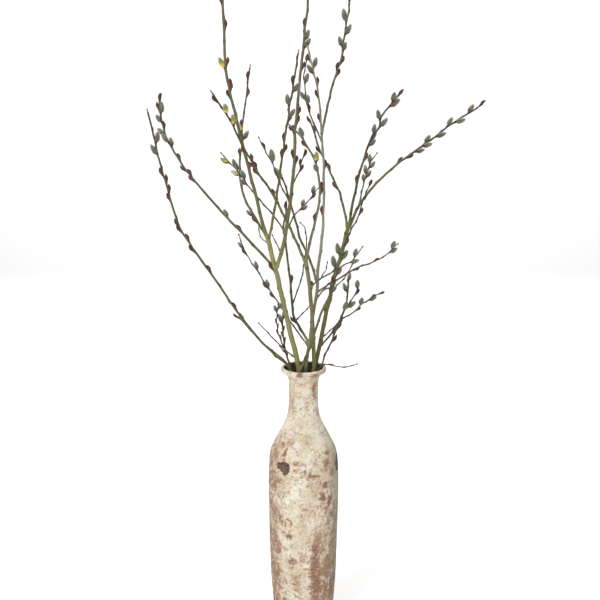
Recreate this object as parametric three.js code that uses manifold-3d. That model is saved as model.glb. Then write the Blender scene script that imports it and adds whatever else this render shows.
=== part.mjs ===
// Pussy-willow stems in a tall bottle vase.
// Millimetres, +Z up. The origin is the centre of the vase's foot, and -Y is the front.

import * as THREE from 'three';
import { mergeVertices } from 'three/addons/utils/BufferGeometryUtils.js';
import Module from 'manifold-3d';

const wasm = await Module();
wasm.setup();

// ---- driving dimensions ----

const VASE_HEIGHT = 550;
const VASE_FACETS = 36;
const FOOT_RADIUS = 56;
const FLOOR_HEIGHT = 12;
const WALL = 6;
const LIP_RADIUS = 45.5;
const LIP_DEPTH = 12;
const LIP_EDGE = 3;
const LIP_UNDERCUT = 4;
const MOUTH_RADIUS = 39.5;
const MOUTH_BEVEL = 2;
const NECK_TOP = 526;

// The potter throws the body and the neck apart, and joins them at this height.
const SEAM_HEIGHT = 440;
const SEAM_GAP = 0.3;
const HALF_BLOCK = 300;

// The outside of the vase from just above the foot to the top of the neck: radius, height.
const VASE_OUTLINE = [
  [59, 5],
  [67, 110],
  [70.5, 250],
  [70.5, 335],
  [66.5, 375],
  [52, 406],
  [35.5, 440],
  [30, 468],
  [29.5, 505],
  [30.5, NECK_TOP],
];
const OUTLINE_STEPS = 13;

const ROUTE_DIVISIONS = 400;
const THICK_STEP = 45;
const THIN_STEP = 30;
const THICK_SIDES = 6;
const THIN_SIDES = 5;
const THIN_LIMIT = 4.5;

const CATKIN_LENGTH = 18;
const CATKIN_WIDTH = 9.5;
const CATKIN_FACETS = 5;
const CATKIN_LEAN = 30;
const CATKIN_STAND = 1.9;
const YOUNG_SINK = 0.8;
const CATKIN_PROFILE = [[0, 0], [0.22, 0.08], [0.5, 0.42], [0.4, 0.76], [0, 1]];

// ---- the stems ----

// A cut stem is a list of shoots. The first runs from its foot inside the vase to its tip, and
// each later one starts inside an earlier one. route holds the points it passes through, and
// thick its diameter at the start and at the tip; step is the spacing of its rings where it
// bends sharply. catkins are separate pieces, and young ones, which still sit in their scales,
// are part of the stem. Each is [how far back from the tip, the side it faces, size]: side 0 is
// +X, 90 is the back, 180 is -X and 270 is the front.
const STEMS = {
  stem_left_outer: [
    {
      route: [
        [20, -36, 14], [9, -16, 456], [-17, -11, 520], [-31, -7, 553], [-57, -7, 577],
        [-105, -20, 634], [-186, -45, 762], [-233, -58, 840], [-260, -72, 937], [-274, -82, 1002],
        [-286, -92, 1067],
      ],
      thick: [5.6, 1.6],
      catkins: [[60, 20, 1], [82, 160, 1]],
    },
  ],
  twig_left: [
    {
      route: [
        [-18, 26, 210], [-13, 13, 456], [-17, 10, 520], [-35, 11, 556], [-84, 18, 596],
        [-133, 24, 649],
      ],
      thick: [2.8, 1.4],
      young: [[16, 30, 0.9]],
    },
  ],
  stem_left_inner: [
    {
      route: [
        [-34, 6, 14], [-16, 2, 456], [-19, 4, 520], [-26, 6, 545], [-36, 15, 577], [-42, 30, 622],
        [-41, 40, 652],
      ],
      thick: [5.6, 1.8],
      young: [[20, 190, 0.8], [10, 20, 0.8]],
    },
    {
      route: [[-37, 15, 580], [-48, 10, 608], [-53, 0, 646], [-50, -12, 680]],
      thick: [2.4, 1.4],
      young: [[16, 170, 0.7], [9, 20, 0.7]],
    },
    { route: [[-36, 14, 574], [-46, 4, 589]], thick: [2.2, 1.6] },
  ],
  stem_thick: [
    {
      route: [
        [-14, -8, 14], [-5, -3, 456], [-9, -3, 520], [-10, -4, 551], [-20, -6, 596], [-36, -8, 665],
        [-49, -8, 727], [-63, -6, 783], [-70, -4, 816],
      ],
      thick: [12, 7],
    },
    {
      route: [[-19, -6, 571], [-36, -16, 589], [-64, -35, 623], [-85, -50, 651]],
      thick: [2.2, 1.2],
    },
    {
      route: [
        [-55, -8, 752], [-95, 10, 792], [-145, 40, 838], [-196, 75, 888], [-240, 106, 936],
        [-273, 130, 986], [-290, 150, 1046], [-287, 155, 1073],
      ],
      thick: [5.2, 1.6],
      catkins: [[36, 15, 1.15], [53, 140, 1], [80, 170, 0.95], [98, 250, 1], [108, 10, 0.9], [298, 20, 1]],
    },
    {
      route: [
        [-54, -8, 750], [-43, 0, 784], [-29, 20, 857], [-23, 30, 903], [-19, 40, 943],
        [-16, 60, 1015], [-10, 75, 1085], [-1, 95, 1172], [7, 110, 1243], [11, 118, 1288],
      ],
      thick: [6.4, 1.6],
      catkins: [[102, 30, 1], [118, 350, 1]],
    },
    {
      route: [[-36, 10, 822], [-60, 16, 854], [-93, 16, 894], [-123, 10, 934], [-156, -10, 977]],
      thick: [2.6, 1.4],
      young: [
        [24, 170, 0.9], [56, 190, 0.9], [40, 10, 0.9], [46, 350, 0.75], [70, 20, 0.9], [80, 180, 0.8],
      ],
    },
    {
      route: [[-32, 12, 828], [-15, 25, 855], [3, 40, 870], [27, 60, 898]],
      thick: [2.6, 1.4],
      young: [[12, 170, 0.9], [55, 20, 0.8], [48, 190, 0.8]],
    },
    {
      route: [[-22, 32, 911], [-9, 25, 937], [-3, 15, 962], [2, 8, 981]],
      thick: [2.4, 1.3],
    },
    { route: [[-44, 0, 782], [-60, 25, 810]], thick: [2.2, 1.4] },
    {
      route: [
        [-68, -5, 806], [-79, -14, 842], [-91, -40, 901], [-110, -80, 990], [-123, -105, 1056],
        [-135, -126, 1112], [-140, -142, 1163], [-141, -155, 1219], [-142, -170, 1288],
      ],
      thick: [5.8, 1.6],
      catkins: [[142, 180, 1]],
    },
    {
      route: [
        [-68, -4, 806], [-60, -12, 850], [-54, -20, 884], [-43, -34, 958], [-33, -50, 1028],
        [-21, -62, 1103], [-10, -72, 1173],
      ],
      thick: [4.2, 1.5],
      catkins: [[74, 10, 1], [100, 190, 1], [122, 350, 0.9]],
    },
    {
      route: [
        [-70, -4, 812], [-92, 15, 846], [-117, 45, 885], [-127, 80, 935], [-123, 112, 981],
        [-122, 135, 1022], [-108, 185, 1128],
      ],
      thick: [4, 1.5],
      catkins: [[154, 10, 1], [138, 200, 0.9]],
      young: [[328, 190, 0.8]],
    },
    { route: [[-67, -5, 801], [-83, 12, 810], [-88, 30, 830]], thick: [2, 1.2] },
    {
      route: [
        [-8, -5, 543], [2, -13, 566], [14, -22, 600], [23, -26, 632], [34, -28, 668],
        [52, -28, 706], [56, -27, 731],
      ],
      thick: [5, 2.2],
      young: [[20, 20, 0.7]],
    },
  ],
  stem_centre: [
    {
      route: [
        [0, -2, 14], [2, 8, 456], [3, 11, 520], [5, 11, 547], [14, 15, 611], [19, 20, 654],
        [27, 25, 701], [29, 30, 745], [38, 41, 820], [40, 52, 898], [39, 60, 956], [35, 68, 1014],
        [27, 75, 1094], [13, 80, 1153], [7, 80, 1178],
      ],
      thick: [9.2, 1.6],
      catkins: [[46, 10, 1], [56, 190, 0.95]],
    },
    {
      route: [
        [36, 67, 1006], [42, 67, 1039], [57, 58, 1104], [72, 50, 1154], [76, 46, 1185],
        [84, 39, 1236], [91, 32, 1285],
      ],
      thick: [4, 1.5],
      catkins: [[62, 170, 1.15], [86, 0, 1], [110, 190, 0.95]],
      young: [[118, 20, 0.8]],
    },
    {
      route: [
        [37, 65, 988], [21, 55, 1027], [8, 45, 1057], [2, 35, 1104], [0, 30, 1123], [6, 25, 1154],
      ],
      thick: [2.8, 1.4],
      catkins: [[47, 20, 0.95], [80, 190, 0.9], [90, 20, 0.9]],
    },
    {
      route: [
        [27, 26, 716], [9, 45, 768], [-6, 60, 795], [-15, 75, 829], [-26, 95, 864], [-43, 125, 914],
      ],
      thick: [4.2, 1.6],
      catkins: [[4, 190, 1.15]],
    },
    {
      route: [[-25, 93, 861], [-47, 88, 904], [-60, 88, 940], [-82, 90, 980], [-88, 92, 994]],
      thick: [2.6, 1.4],
      catkins: [[54, 20, 1.1]],
    },
    {
      route: [
        [12, 13, 592], [-9, 23, 628], [-20, 29, 647], [-23, 36, 672], [-26, 45, 707],
        [-30, 52, 740], [-37, 65, 799], [-40, 72, 822], [-32, 80, 857],
      ],
      thick: [4.6, 1.6],
    },
    {
      route: [
        [-22, 36, 670], [-8, 50, 706], [1, 70, 742], [5, 85, 770], [3, 100, 812], [-5, 105, 820],
      ],
      thick: [2.2, 1.3],
    },
    { route: [[-16, 26, 638], [-2, 12, 656], [13, 3, 677]], thick: [2, 1.2] },
    {
      route: [
        [10, 13, 587], [-9, 16, 614], [-27, 17, 640], [-55, 24, 684], [-71, 28, 707],
        [-112, 45, 768], [-128, 55, 805],
      ],
      thick: [2.8, 1.3],
      young: [[76, 20, 0.85], [24, 190, 0.7], [118, 20, 0.8]],
    },
    {
      route: [
        [26, 24, 696], [50, 15, 716], [74, 5, 732], [100, -10, 752], [131, -25, 768],
        [155, -40, 784], [178, -55, 810],
      ],
      thick: [3.2, 1.4],
      young: [[12, 185, 0.9], [22, 350, 0.8]],
    },
    {
      route: [
        [25, 24, 684], [43, 38, 700], [65, 58, 701], [84, 78, 715], [101, 98, 740],
      ],
      thick: [2.4, 1.3],
    },
  ],
  stem_front: [
    {
      route: [
        [24, -20, 14], [11, -9, 456], [15, -9, 520], [20, -8, 545], [19, -8, 610], [15, -9, 680],
        [9, -10, 736], [3, -10, 774],
      ],
      thick: [8.2, 6],
    },
    {
      route: [
        [4, -9, 764], [-13, -18, 805], [-32, -30, 849], [-64, -58, 916], [-84, -75, 949],
        [-113, -104, 1007], [-137, -130, 1060], [-164, -155, 1107],
      ],
      thick: [4.8, 1.5],
      catkins: [[78, 10, 1], [49, 340, 1]],
    },
    {
      route: [
        [4, -10, 766], [13, -25, 813], [25, -50, 866], [29, -64, 895], [30, -80, 929],
        [22, -98, 970], [8, -114, 1002], [-11, -130, 1032], [-27, -142, 1048],
      ],
      thick: [4.8, 1.5],
      catkins: [[114, 260, 1], [97, 0, 1], [39, 20, 1]],
    },
    {
      route: [
        [12, -10, 712], [28, -16, 731], [57, -26, 750], [80, -36, 767], [93, -42, 775],
        [111, -55, 804],
      ],
      thick: [2.6, 1.4],
      young: [[24, 180, 0.9], [40, 350, 0.8]],
    },
  ],
  stem_right: [
    {
      route: [
        [30, 20, 14], [13, 9, 456], [15, 10, 520], [22, 10, 545], [31, 12, 585], [44, 24, 646],
        [51, 30, 675], [57, 36, 709], [67, 44, 742], [75, 50, 765], [81, 56, 790], [90, 64, 825],
      ],
      thick: [9, 6],
      catkins: [[88, 180, 1.15], [60, 190, 1.1], [68, 10, 1]],
      young: [[100, 20, 0.8]],
    },
    {
      route: [
        [88, 61, 817], [82, 72, 848], [73, 85, 884], [61, 95, 911], [41, 110, 951], [25, 125, 989],
        [13, 138, 1028],
      ],
      thick: [4, 1.5],
    },
    {
      route: [
        [90, 63, 817], [94, 62, 850], [102, 55, 893], [111, 48, 936], [129, 38, 996],
        [146, 32, 1024], [150, 28, 1044], [184, 12, 1090],
      ],
      thick: [4.8, 1.5],
      catkins: [[20, 200, 1], [32, 10, 1.1], [64, 190, 0.95], [78, 20, 1], [112, 60, 0.95]],
      young: [[96, 180, 0.9], [122, 350, 0.8]],
    },
    {
      route: [
        [90, 64, 817], [105, 70, 852], [121, 80, 877], [153, 95, 911], [206, 120, 953],
        [256, 140, 985], [311, 160, 1023], [337, 170, 1036], [367, 182, 1054],
      ],
      thick: [4.8, 1.5],
      catkins: [
        [36, 180, 1], [72, 350, 1], [90, 190, 0.95], [122, 340, 1], [148, 180, 0.95], [158, 350, 0.95],
      ],
      young: [[176, 10, 0.9]],
    },
    {
      route: [[75, 50, 762], [90, 35, 813], [105, 20, 847], [117, 5, 890], [128, -10, 919]],
      thick: [3, 1.4],
    },
    {
      route: [[109, 72, 856], [117, 85, 890], [125, 100, 916], [136, 115, 946], [146, 122, 959]],
      thick: [2.6, 1.4],
      catkins: [[22, 170, 0.9], [46, 190, 0.9]],
      young: [[32, 10, 0.85], [52, 0, 0.8], [62, 180, 0.75]],
    },
    {
      route: [
        [33, 14, 588], [53, 0, 615], [68, -15, 642], [78, -28, 670], [90, -38, 691],
        [107, -55, 729],
      ],
      thick: [3.4, 1.5],
      catkins: [[64, 190, 1], [56, 10, 0.95]],
      young: [[5, 180, 0.9]],
    },
    {
      route: [[72, -20, 652], [96, -40, 672], [111, -55, 691], [127, -70, 707], [145, -85, 723]],
      thick: [2.6, 1.4],
      young: [[54, 170, 0.9], [32, 10, 0.8]],
    },
    { route: [[38, 17, 606], [59, 32, 620], [70, 42, 631]], thick: [2, 1.2] },
  ],
  stem_right_thin: [
    {
      route: [
        [12, 1, 14], [5, 0, 456], [10, 0, 520], [22, 0, 538], [34, 1, 550], [43, 8, 572],
        [62, 20, 610], [70, 26, 631], [83, 35, 660], [90, 48, 704], [87, 52, 717],
      ],
      thick: [4.4, 1.5],
      young: [[25, 180, 0.9], [3, 10, 0.8]],
    },
  ],
  twig_on_lip: [
    {
      route: [
        [20, 4, 430], [20, 5, 500], [21, 6, 525], [28, 8, 544], [37, 9, 552], [46, 9, 552],
        [60, 8, 549], [83, 6, 547], [104, 4, 553],
      ],
      thick: [2.4, 1.3],
      step: 9,
    },
  ],
};

const VASE_COLOUR = 0xe2d8c4;
const VASE_ROUGHNESS = 0.85;
const BARK_COLOUR = 0x7d7c4c;
const BARK_ROUGHNESS = 0.6;
const CATKIN_COLOUR = 0xb4b8a4;
const CATKIN_ROUGHNESS = 0.95;

// ---- solids ----

const radians = THREE.MathUtils.degToRad;

// A closed geometry as a solid, with its shared vertices merged and empty triangles left out.
function solidFrom(geometry) {
  geometry.deleteAttribute('normal');
  geometry.deleteAttribute('uv');
  const merged = mergeVertices(geometry, 1e-4);
  const index = merged.index.array;
  const triangles = [];
  for (let i = 0; i < index.length; i += 3) {
    const [a, b, c] = [index[i], index[i + 1], index[i + 2]];
    if (a !== b && b !== c && c !== a) {
      triangles.push(a, b, c);
    }
  }
  const mesh = new wasm.Mesh({
    numProp: 3,
    vertProperties: new Float32Array(merged.attributes.position.array),
    triVerts: new Uint32Array(triangles),
  });
  return new wasm.Manifold(mesh);
}

function meshFrom(solid, name, colour, roughness) {
  const { vertProperties, triVerts } = solid.getMesh();
  const geometry = new THREE.BufferGeometry();
  geometry.setAttribute('position', new THREE.BufferAttribute(vertProperties, 3));
  geometry.setIndex(new THREE.BufferAttribute(triVerts, 1));
  geometry.computeVertexNormals();
  const material = new THREE.MeshStandardMaterial({ color: colour, roughness, metalness: 0 });
  const mesh = new THREE.Mesh(geometry, material);
  mesh.name = name;
  return mesh;
}

// The vase: a foot, one smooth outline, a rolled lip, and the same outline a wall's width inside.
function vaseSolid() {
  const outline = new THREE.SplineCurve(VASE_OUTLINE.map(([r, z]) => new THREE.Vector2(r, z)));
  const outside = outline.getPoints(OUTLINE_STEPS);
  const inside = outside.filter((p) => p.y > FLOOR_HEIGHT + WALL).reverse();
  const lipBottom = VASE_HEIGHT - LIP_DEPTH;
  const profile = [
    new THREE.Vector2(0, 0),
    new THREE.Vector2(FOOT_RADIUS, 0),
    ...outside,
    new THREE.Vector2(LIP_RADIUS - LIP_EDGE, lipBottom),
    new THREE.Vector2(LIP_RADIUS, lipBottom + LIP_UNDERCUT),
    new THREE.Vector2(LIP_RADIUS, VASE_HEIGHT - LIP_EDGE),
    new THREE.Vector2(LIP_RADIUS - LIP_EDGE, VASE_HEIGHT),
    new THREE.Vector2(MOUTH_RADIUS, VASE_HEIGHT),
    new THREE.Vector2(MOUTH_RADIUS - MOUTH_BEVEL, VASE_HEIGHT - LIP_EDGE),
    ...inside.map((p) => new THREE.Vector2(p.x - WALL, p.y)),
    new THREE.Vector2(FOOT_RADIUS - WALL, FLOOR_HEIGHT),
    new THREE.Vector2(0, FLOOR_HEIGHT),
  ];
  const lathe = new THREE.LatheGeometry(profile, VASE_FACETS);
  lathe.rotateX(Math.PI / 2);
  return solidFrom(lathe);
}

// A block that takes away everything above a height, or below it.
function halfSpace(height, side) {
  const block = new THREE.BoxGeometry(2 * HALF_BLOCK, 2 * HALF_BLOCK, 2 * HALF_BLOCK);
  block.translate(0, 0, height + side * HALF_BLOCK);
  return solidFrom(block);
}

// A shoot's smooth route, and the centres of its tube's rings.
function layOut(shoot) {
  const curve = new THREE.CatmullRomCurve3(shoot.route.map((p) => new THREE.Vector3(...p)));
  curve.arcLengthDivisions = ROUTE_DIVISIONS;
  const spacing = shoot.step ?? (shoot.thick[0] > THIN_LIMIT ? THICK_STEP : THIN_STEP);
  const steps = Math.max(2, Math.round(curve.getLength() / spacing));
  return { curve, rings: curve.getSpacedPoints(steps) };
}

// A tapered tube: a straight many-ringed cylinder laid along the shoot's route.
function tubeSolid(shoot) {
  const { curve, rings } = layOut(shoot);
  const [start, end] = shoot.thick;
  const sides = start > THIN_LIMIT ? THICK_SIDES : THIN_SIDES;
  const steps = rings.length - 1;
  const frames = curve.computeFrenetFrames(steps);
  const tube = new THREE.CylinderGeometry(1, 1, 1, sides, steps);
  const position = tube.attributes.position;
  const vertex = new THREE.Vector3();
  for (let i = 0; i < position.count; i++) {
    vertex.fromBufferAttribute(position, i);
    const ring = Math.round((vertex.y + 0.5) * steps);
    const radius = THREE.MathUtils.lerp(start, end, ring / steps) / 2;
    const point = rings[ring].clone();
    point.addScaledVector(frames.normals[ring], vertex.x * radius);
    point.addScaledVector(frames.binormals[ring], -vertex.z * radius);
    position.setXYZ(i, point.x, point.y, point.z);
  }
  return solidFrom(tube);
}

// A catkin: its turned profile, leaning out from the shoot's side, with its base standing this
// far off the bark.
function catkinSolid(shoot, [back, side, size], stand) {
  const { curve, rings } = layOut(shoot);
  const along = THREE.MathUtils.clamp(1 - back / curve.getLength(), 0, 1);
  const ring = Math.min(Math.floor(along * (rings.length - 1)), rings.length - 2);
  const point = rings[ring].clone().lerp(rings[ring + 1], along * (rings.length - 1) - ring);
  const tangent = curve.getTangentAt(along);
  const facing = new THREE.Vector3(Math.cos(radians(side)), Math.sin(radians(side)), 0);
  const outward = facing.addScaledVector(tangent, -facing.dot(tangent)).normalize();
  const radius = THREE.MathUtils.lerp(shoot.thick[0], shoot.thick[1], along) / 2;
  const axis = tangent.clone().multiplyScalar(Math.cos(radians(CATKIN_LEAN)));
  axis.addScaledVector(outward, Math.sin(radians(CATKIN_LEAN)));
  point.addScaledVector(outward, radius + stand);
  const profile = CATKIN_PROFILE.map(([r, l]) => new THREE.Vector2(r * CATKIN_WIDTH, l * CATKIN_LENGTH));
  const lathe = new THREE.LatheGeometry(profile, CATKIN_FACETS);
  lathe.scale(size, size, size);
  lathe.applyQuaternion(new THREE.Quaternion().setFromUnitVectors(new THREE.Vector3(0, 1, 0), axis));
  lathe.translate(point.x, point.y, point.z);
  return solidFrom(lathe);
}

// A whole cut stem: its shoots and their young catkins, grown together.
function stemSolid(shoots) {
  let stem = tubeSolid(shoots[0]);
  for (const shoot of shoots.slice(1)) {
    stem = stem.add(tubeSolid(shoot));
  }
  for (const shoot of shoots) {
    for (const place of shoot.young ?? []) {
      stem = stem.add(catkinSolid(shoot, place, -YOUNG_SINK));
    }
  }
  return stem;
}

// ---- the model ----

const model = new THREE.Group();
const vase = vaseSolid();
const body = vase.subtract(halfSpace(SEAM_HEIGHT - SEAM_GAP, 1));
const neck = vase.subtract(halfSpace(SEAM_HEIGHT, -1));
model.add(meshFrom(body, 'vase_body', VASE_COLOUR, VASE_ROUGHNESS));
model.add(meshFrom(neck, 'vase_neck', VASE_COLOUR, VASE_ROUGHNESS));

let catkinCount = 0;
for (const [name, shoots] of Object.entries(STEMS)) {
  model.add(meshFrom(stemSolid(shoots), name, BARK_COLOUR, BARK_ROUGHNESS));
  for (const shoot of shoots) {
    for (const place of shoot.catkins ?? []) {
      catkinCount += 1;
      const number = String(catkinCount).padStart(2, '0');
      const catkin = catkinSolid(shoot, place, CATKIN_STAND);
      model.add(meshFrom(catkin, `catkin_${number}`, CATKIN_COLOUR, CATKIN_ROUGHNESS));
    }
  }
}

export default model;
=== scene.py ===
"""Cut pussy-willow stems with catkins and buds, in a tall limewashed bottle vase.

Metres, +Z up, -Y is the front. Every size in a table is in millimetres and goes through MM.
"""

import math
import random

import bpy
import numpy as np
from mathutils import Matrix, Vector, noise


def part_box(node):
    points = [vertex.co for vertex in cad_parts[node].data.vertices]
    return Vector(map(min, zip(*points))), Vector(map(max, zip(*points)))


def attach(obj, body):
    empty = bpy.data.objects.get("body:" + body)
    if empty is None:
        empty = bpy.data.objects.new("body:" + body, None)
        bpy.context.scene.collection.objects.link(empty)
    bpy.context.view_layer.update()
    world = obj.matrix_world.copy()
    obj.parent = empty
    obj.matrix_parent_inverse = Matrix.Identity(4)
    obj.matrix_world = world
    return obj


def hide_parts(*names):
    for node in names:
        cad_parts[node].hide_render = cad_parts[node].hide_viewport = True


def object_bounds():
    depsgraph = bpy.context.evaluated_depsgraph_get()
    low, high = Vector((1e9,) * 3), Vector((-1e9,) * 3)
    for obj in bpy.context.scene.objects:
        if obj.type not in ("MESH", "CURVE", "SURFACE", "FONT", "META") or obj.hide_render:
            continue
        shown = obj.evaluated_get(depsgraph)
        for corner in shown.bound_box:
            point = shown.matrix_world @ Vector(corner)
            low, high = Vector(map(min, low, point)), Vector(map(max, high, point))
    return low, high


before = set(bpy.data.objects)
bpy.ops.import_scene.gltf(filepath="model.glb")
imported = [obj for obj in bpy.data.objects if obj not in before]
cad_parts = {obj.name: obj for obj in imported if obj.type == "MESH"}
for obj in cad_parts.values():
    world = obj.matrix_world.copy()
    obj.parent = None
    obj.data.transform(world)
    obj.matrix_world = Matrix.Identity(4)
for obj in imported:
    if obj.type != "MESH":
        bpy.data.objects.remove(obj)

bl_info = {
    "name": "Willow stems in a vase",
    "version": (1, 0, 0),
    "blender": (4, 5, 0),
    "location": "View3D > Sidebar > Willow",
    "description": "Makes cut pussy-willow stems with catkins and buds in a limewashed bottle vase",
    "category": "Object",
}

CAD_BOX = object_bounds()
BODY = "root"
MM = 0.001
SEED = 7
GOLDEN_ANGLE = math.radians(137.508)


def srgb(red, green, blue):
    """A colour in steps of 0 to 255, as the linear values that a shader takes."""
    shares = np.array([red, green, blue]) / 255
    return tuple(np.where(shares <= 0.04045, shares / 12.92, ((shares + 0.055) / 1.055) ** 2.4))


# ---- the vase's sizes ----

VASE_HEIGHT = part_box("vase_neck")[1].z / MM
WALL = 6
FLOOR_HEIGHT = 12
VASE_SIDES = 256
OUTSIDE_STEP = 2.0
LIP_STEP = 1.0
INSIDE_STEP = 16.0

# The outside from the foot to the neck, then the flared lip as far as the inside: radius, height.
FOOT_OUTLINE = [(0, 0), (26, 0), (54, 0), (56.6, 0.8), (58.2, 2.6)]
VASE_OUTLINE = [
    (59, 5), (67, 110), (70.5, 250), (70.5, 335), (66.5, 375), (52, 406), (35.5, 440), (30, 468),
    (29.5, 505), (30.5, 526),
]
LIP_OUTLINE = [
    (30.5, 526), (33, 531.5), (38, 536.5), (42.6, 539.5), (45.3, 543), (45.4, 546.5),
    (43.4, 549.4), (40.4, 549.8), (38, 547.2), (34.2, 541.5), (28.5, 533), (24.8, 524),
]

# Where the limewash has worn through to the clay: angle from the front in degrees, height, half
# width, half height, strength.
WORN_PATCHES = [
    (-46, 396, 7, 7, 0.8), (-36, 384, 4, 13, 0.75), (-60, 384, 9, 16, 0.65), (-66, 352, 9, 24, 0.7),
    (-66, 300, 8, 34, 0.6), (-62, 250, 9, 30, 0.65), (-62, 190, 9, 34, 0.7), (-60, 120, 10, 40, 0.8),
    (-50, 92, 8, 26, 0.6), (-11, 369, 11, 5, 0.75), (-11, 354, 12, 4, 0.6), (-8, 340, 18, 4, 0.45),
    (3, 355, 3, 10, 0.6), (11, 350, 3, 7, 0.7), (17, 342, 14, 3, 0.85), (46, 384, 6, 4, 0.85),
    (42, 364, 7, 9, 0.8), (36, 350, 8, 4, 0.55), (52, 345, 7, 12, 0.6), (38, 319, 6, 7, 1),
    (33, 293, 7, 9, 1), (47, 284, 7, 11, 1), (40, 266, 6, 9, 0.55), (52, 250, 8, 14, 0.7),
    (44, 232, 10, 14, 0.6), (50, 205, 8, 20, 0.6), (52, 176, 4, 15, 0.75), (24, 205, 8, 12, 0.6),
    (21, 185, 9, 14, 0.85), (20, 160, 10, 16, 0.95), (22, 130, 12, 22, 1.1), (23, 98, 13, 26, 1.1),
    (22, 58, 13, 28, 0.9), (58, 92, 6, 24, 1.1), (63, 58, 8, 22, 0.9), (-21, 240, 2.5, 10, 0.75),
    (-31, 238, 2.5, 10, 0.6), (-26, 248, 8, 2.5, 0.6), (-24, 212, 9, 5, 0.95), (-35, 216, 6, 4, 0.6),
    (-18, 158, 10, 6, 0.85), (-21, 143, 5, 5, 0.7), (-12, 108, 9, 5, 0.6), (-31, 180, 9, 4, 0.5),
    (-8, 128, 6, 4, 0.5), (-34, 60, 12, 16, 0.6), (-4, 60, 10, 14, 0.5), (-11, 545, 7, 6, 0.8),
    (30, 541, 9, 5, 0.7), (-40, 470, 5, 16, 0.55), (-14, 498, 6, 8, 0.4), (46, 505, 4, 15, 0.85),
    (10, 470, 4, 7, 0.45), (-12, 424, 9, 3, 0.5), (-42, 300, 10, 8, 0.4), (-40, 262, 6, 10, 0.4),
]
# Thick, chalky white limewash; the tall narrow patches 8 to 19 degrees right of the front, about 130 to
# 265 mm up, are a painted highlight.
CHALK_AND_HIGHLIGHT_PATCHES = [
    (3, 362, 8, 13, 0.9), (-15, 398, 8, 11, 0.9), (-18, 428, 3, 8, 0.8), (16, 180, 4, 30, 0.8),
    (19, 150, 4, 22, 0.8), (-10, 376, 7, 9, 0.7), (8, 240, 6, 26, 0.5), (-26, 116, 9, 12, 0.6),
    (-32, 136, 8, 8, 0.6), (8, 100, 7, 20, 0.5), (-38, 420, 12, 9, 0.6), (40, 414, 16, 12, 0.6),
    (0, 330, 16, 22, 0.35), (-46, 330, 7, 12, 0.5), (52, 322, 6, 8, 0.5),
]
# Chips down to the dark clay body, each made of lobes: angle, height, half width, half height.
CHIPS = [
    (-43, 359, 9, 6), (-33, 361, 13, 7.5), (-36, 354, 10, 6.5), (-31, 351, 8, 7), (-33, 345, 4, 4),
    (-47, 354, 4, 3), (80, 358, 13, 12), (76, 350, 12, 11), (83, 342, 7, 8), (206, 149, 6, 5),
    (212, 146, 7, 6), (217, 141, 4, 4),
]
BACK_PATCHES = 46
CHIP_DEPTH = 1.3
WORN_DEPTH = 0.35
CHALK_RISE = 0.25
FOOT_FADE = 6

# ---- the stems' colours and sizes ----

BARK_COLOURS = {
    "pale": srgb(150, 150, 94),
    "silver": srgb(164, 158, 136),
    "olive": srgb(118, 121, 58),
    "khaki": srgb(104, 102, 70),
    "taupe": srgb(110, 95, 82),
    "brown": srgb(78, 64, 49),
    "dark": srgb(54, 43, 35),
    "green": srgb(86, 90, 50),
    "bright": srgb(128, 130, 88),
    "yellow": srgb(106, 104, 40),
}
ROUTE_STEPS = 40
RING_STEP = 2.4
THICK_SIDES = 18
THIN_SIDES = 12
# Shoots thicker than the first at their start have more sides and wider gaps between knots;
# those thicker than the second have thicker, lighter bark.
THIN_LIMIT = 4.5
THICK_SHOOT = 3.5
THIN_SHADE = 0.72
KNOT_REACH = 3.2
KNOT_RING = 0.45
CUSHION_HEIGHT = 0.9
CUSHION_REACH = 2.3
THICK_KNOT_GAP = 34
THIN_KNOT_GAP = 17
TIP_CLEAR = 6
KNOT_TURN = 144
KNOT_SPACE = 8
# What the bark adds to the radius at a shoot's start and at its tip.
THIN_BARK = (0.32, 0.32)
THICK_BARK = (0.45, 0.95)
ZIGZAG = 0.9
ZIGZAG_REACH = 7
DRIFT = 0.9
DRIFT_SCALE = 26
COLLAR_REACH = 3.6
COLOUR_REACH = 32

# ---- the catkins' and buds' colours and sizes ----

CATKIN_LENGTH = 18
CATKIN_WIDTH = 9.5
CATKIN_LEAN = math.radians(21)
CATKIN_SIDES = 20
CATKIN_RINGS = 22
CORE_SHARE = 0.43
OPEN_COVER = 0.36
YOUNG_COVER = 0.55
HUSK_ROWS = 9
HUSK_COLUMNS = 15
HUSK_REACH = math.radians(118)
HUSK_WALL = 0.3
HAIR_GIRTH = 0.13
HAIR_POINTS = 7
BUD_LENGTH = 14.5
BUD_WIDTH = 7
BUD_LEAN = math.radians(7)
BUD_SIDES = 14
BUD_RINGS = 14
TIP_BUD_SIZE = 0.45
TIP_BUD_SPACE = 7

# Each kind of catkin: the colour at its base, at its tip, of its hairs, and how often its scale
# is still on.
CATKIN_KINDS = {
    "grey": (srgb(100, 100, 74), srgb(92, 98, 82), srgb(238, 240, 230), 0.6),
    "green": (srgb(108, 118, 66), srgb(94, 106, 72), srgb(232, 236, 214), 0.45),
    "yellow": (srgb(240, 222, 62), srgb(136, 142, 80), srgb(228, 224, 168), 0.3),
    "cream": (srgb(208, 198, 128), srgb(196, 192, 164), srgb(238, 235, 216), 0.5),
    "red": (srgb(128, 70, 56), srgb(112, 98, 84), srgb(226, 220, 208), 1.0),
}


# ---- the stage, in metres ----

CAMERA_PLACE = (-0.007, -2.5, 1.315)
CAMERA_PITCH = math.radians(75.9)
SENSOR = 36
LENS = 78.42
CAMERA_REACH = 60
# Each light's place, and its width and height.
KEY_LIGHT = ((-1.35, -2.1, 2.3), (1.3, 1.3))
FILL_LIGHT = ((0.6, -3.3, 1.5), (2.2, 2.2))
BACKDROP_LIGHT = ((0, 0.9, 3.4), (5.2, 1.2))
BACKDROP_AIM = (0, 3.2, 0.6)
FLOOR_HALF = 9
BACKDROP_HALF = 1.9
BACKDROP_FOOT = 3.4
BACKDROP_BEND = 1.2
BACKDROP_TOP = 1.7
BEND_POINTS = 13


# ---- the shoots ----

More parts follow.
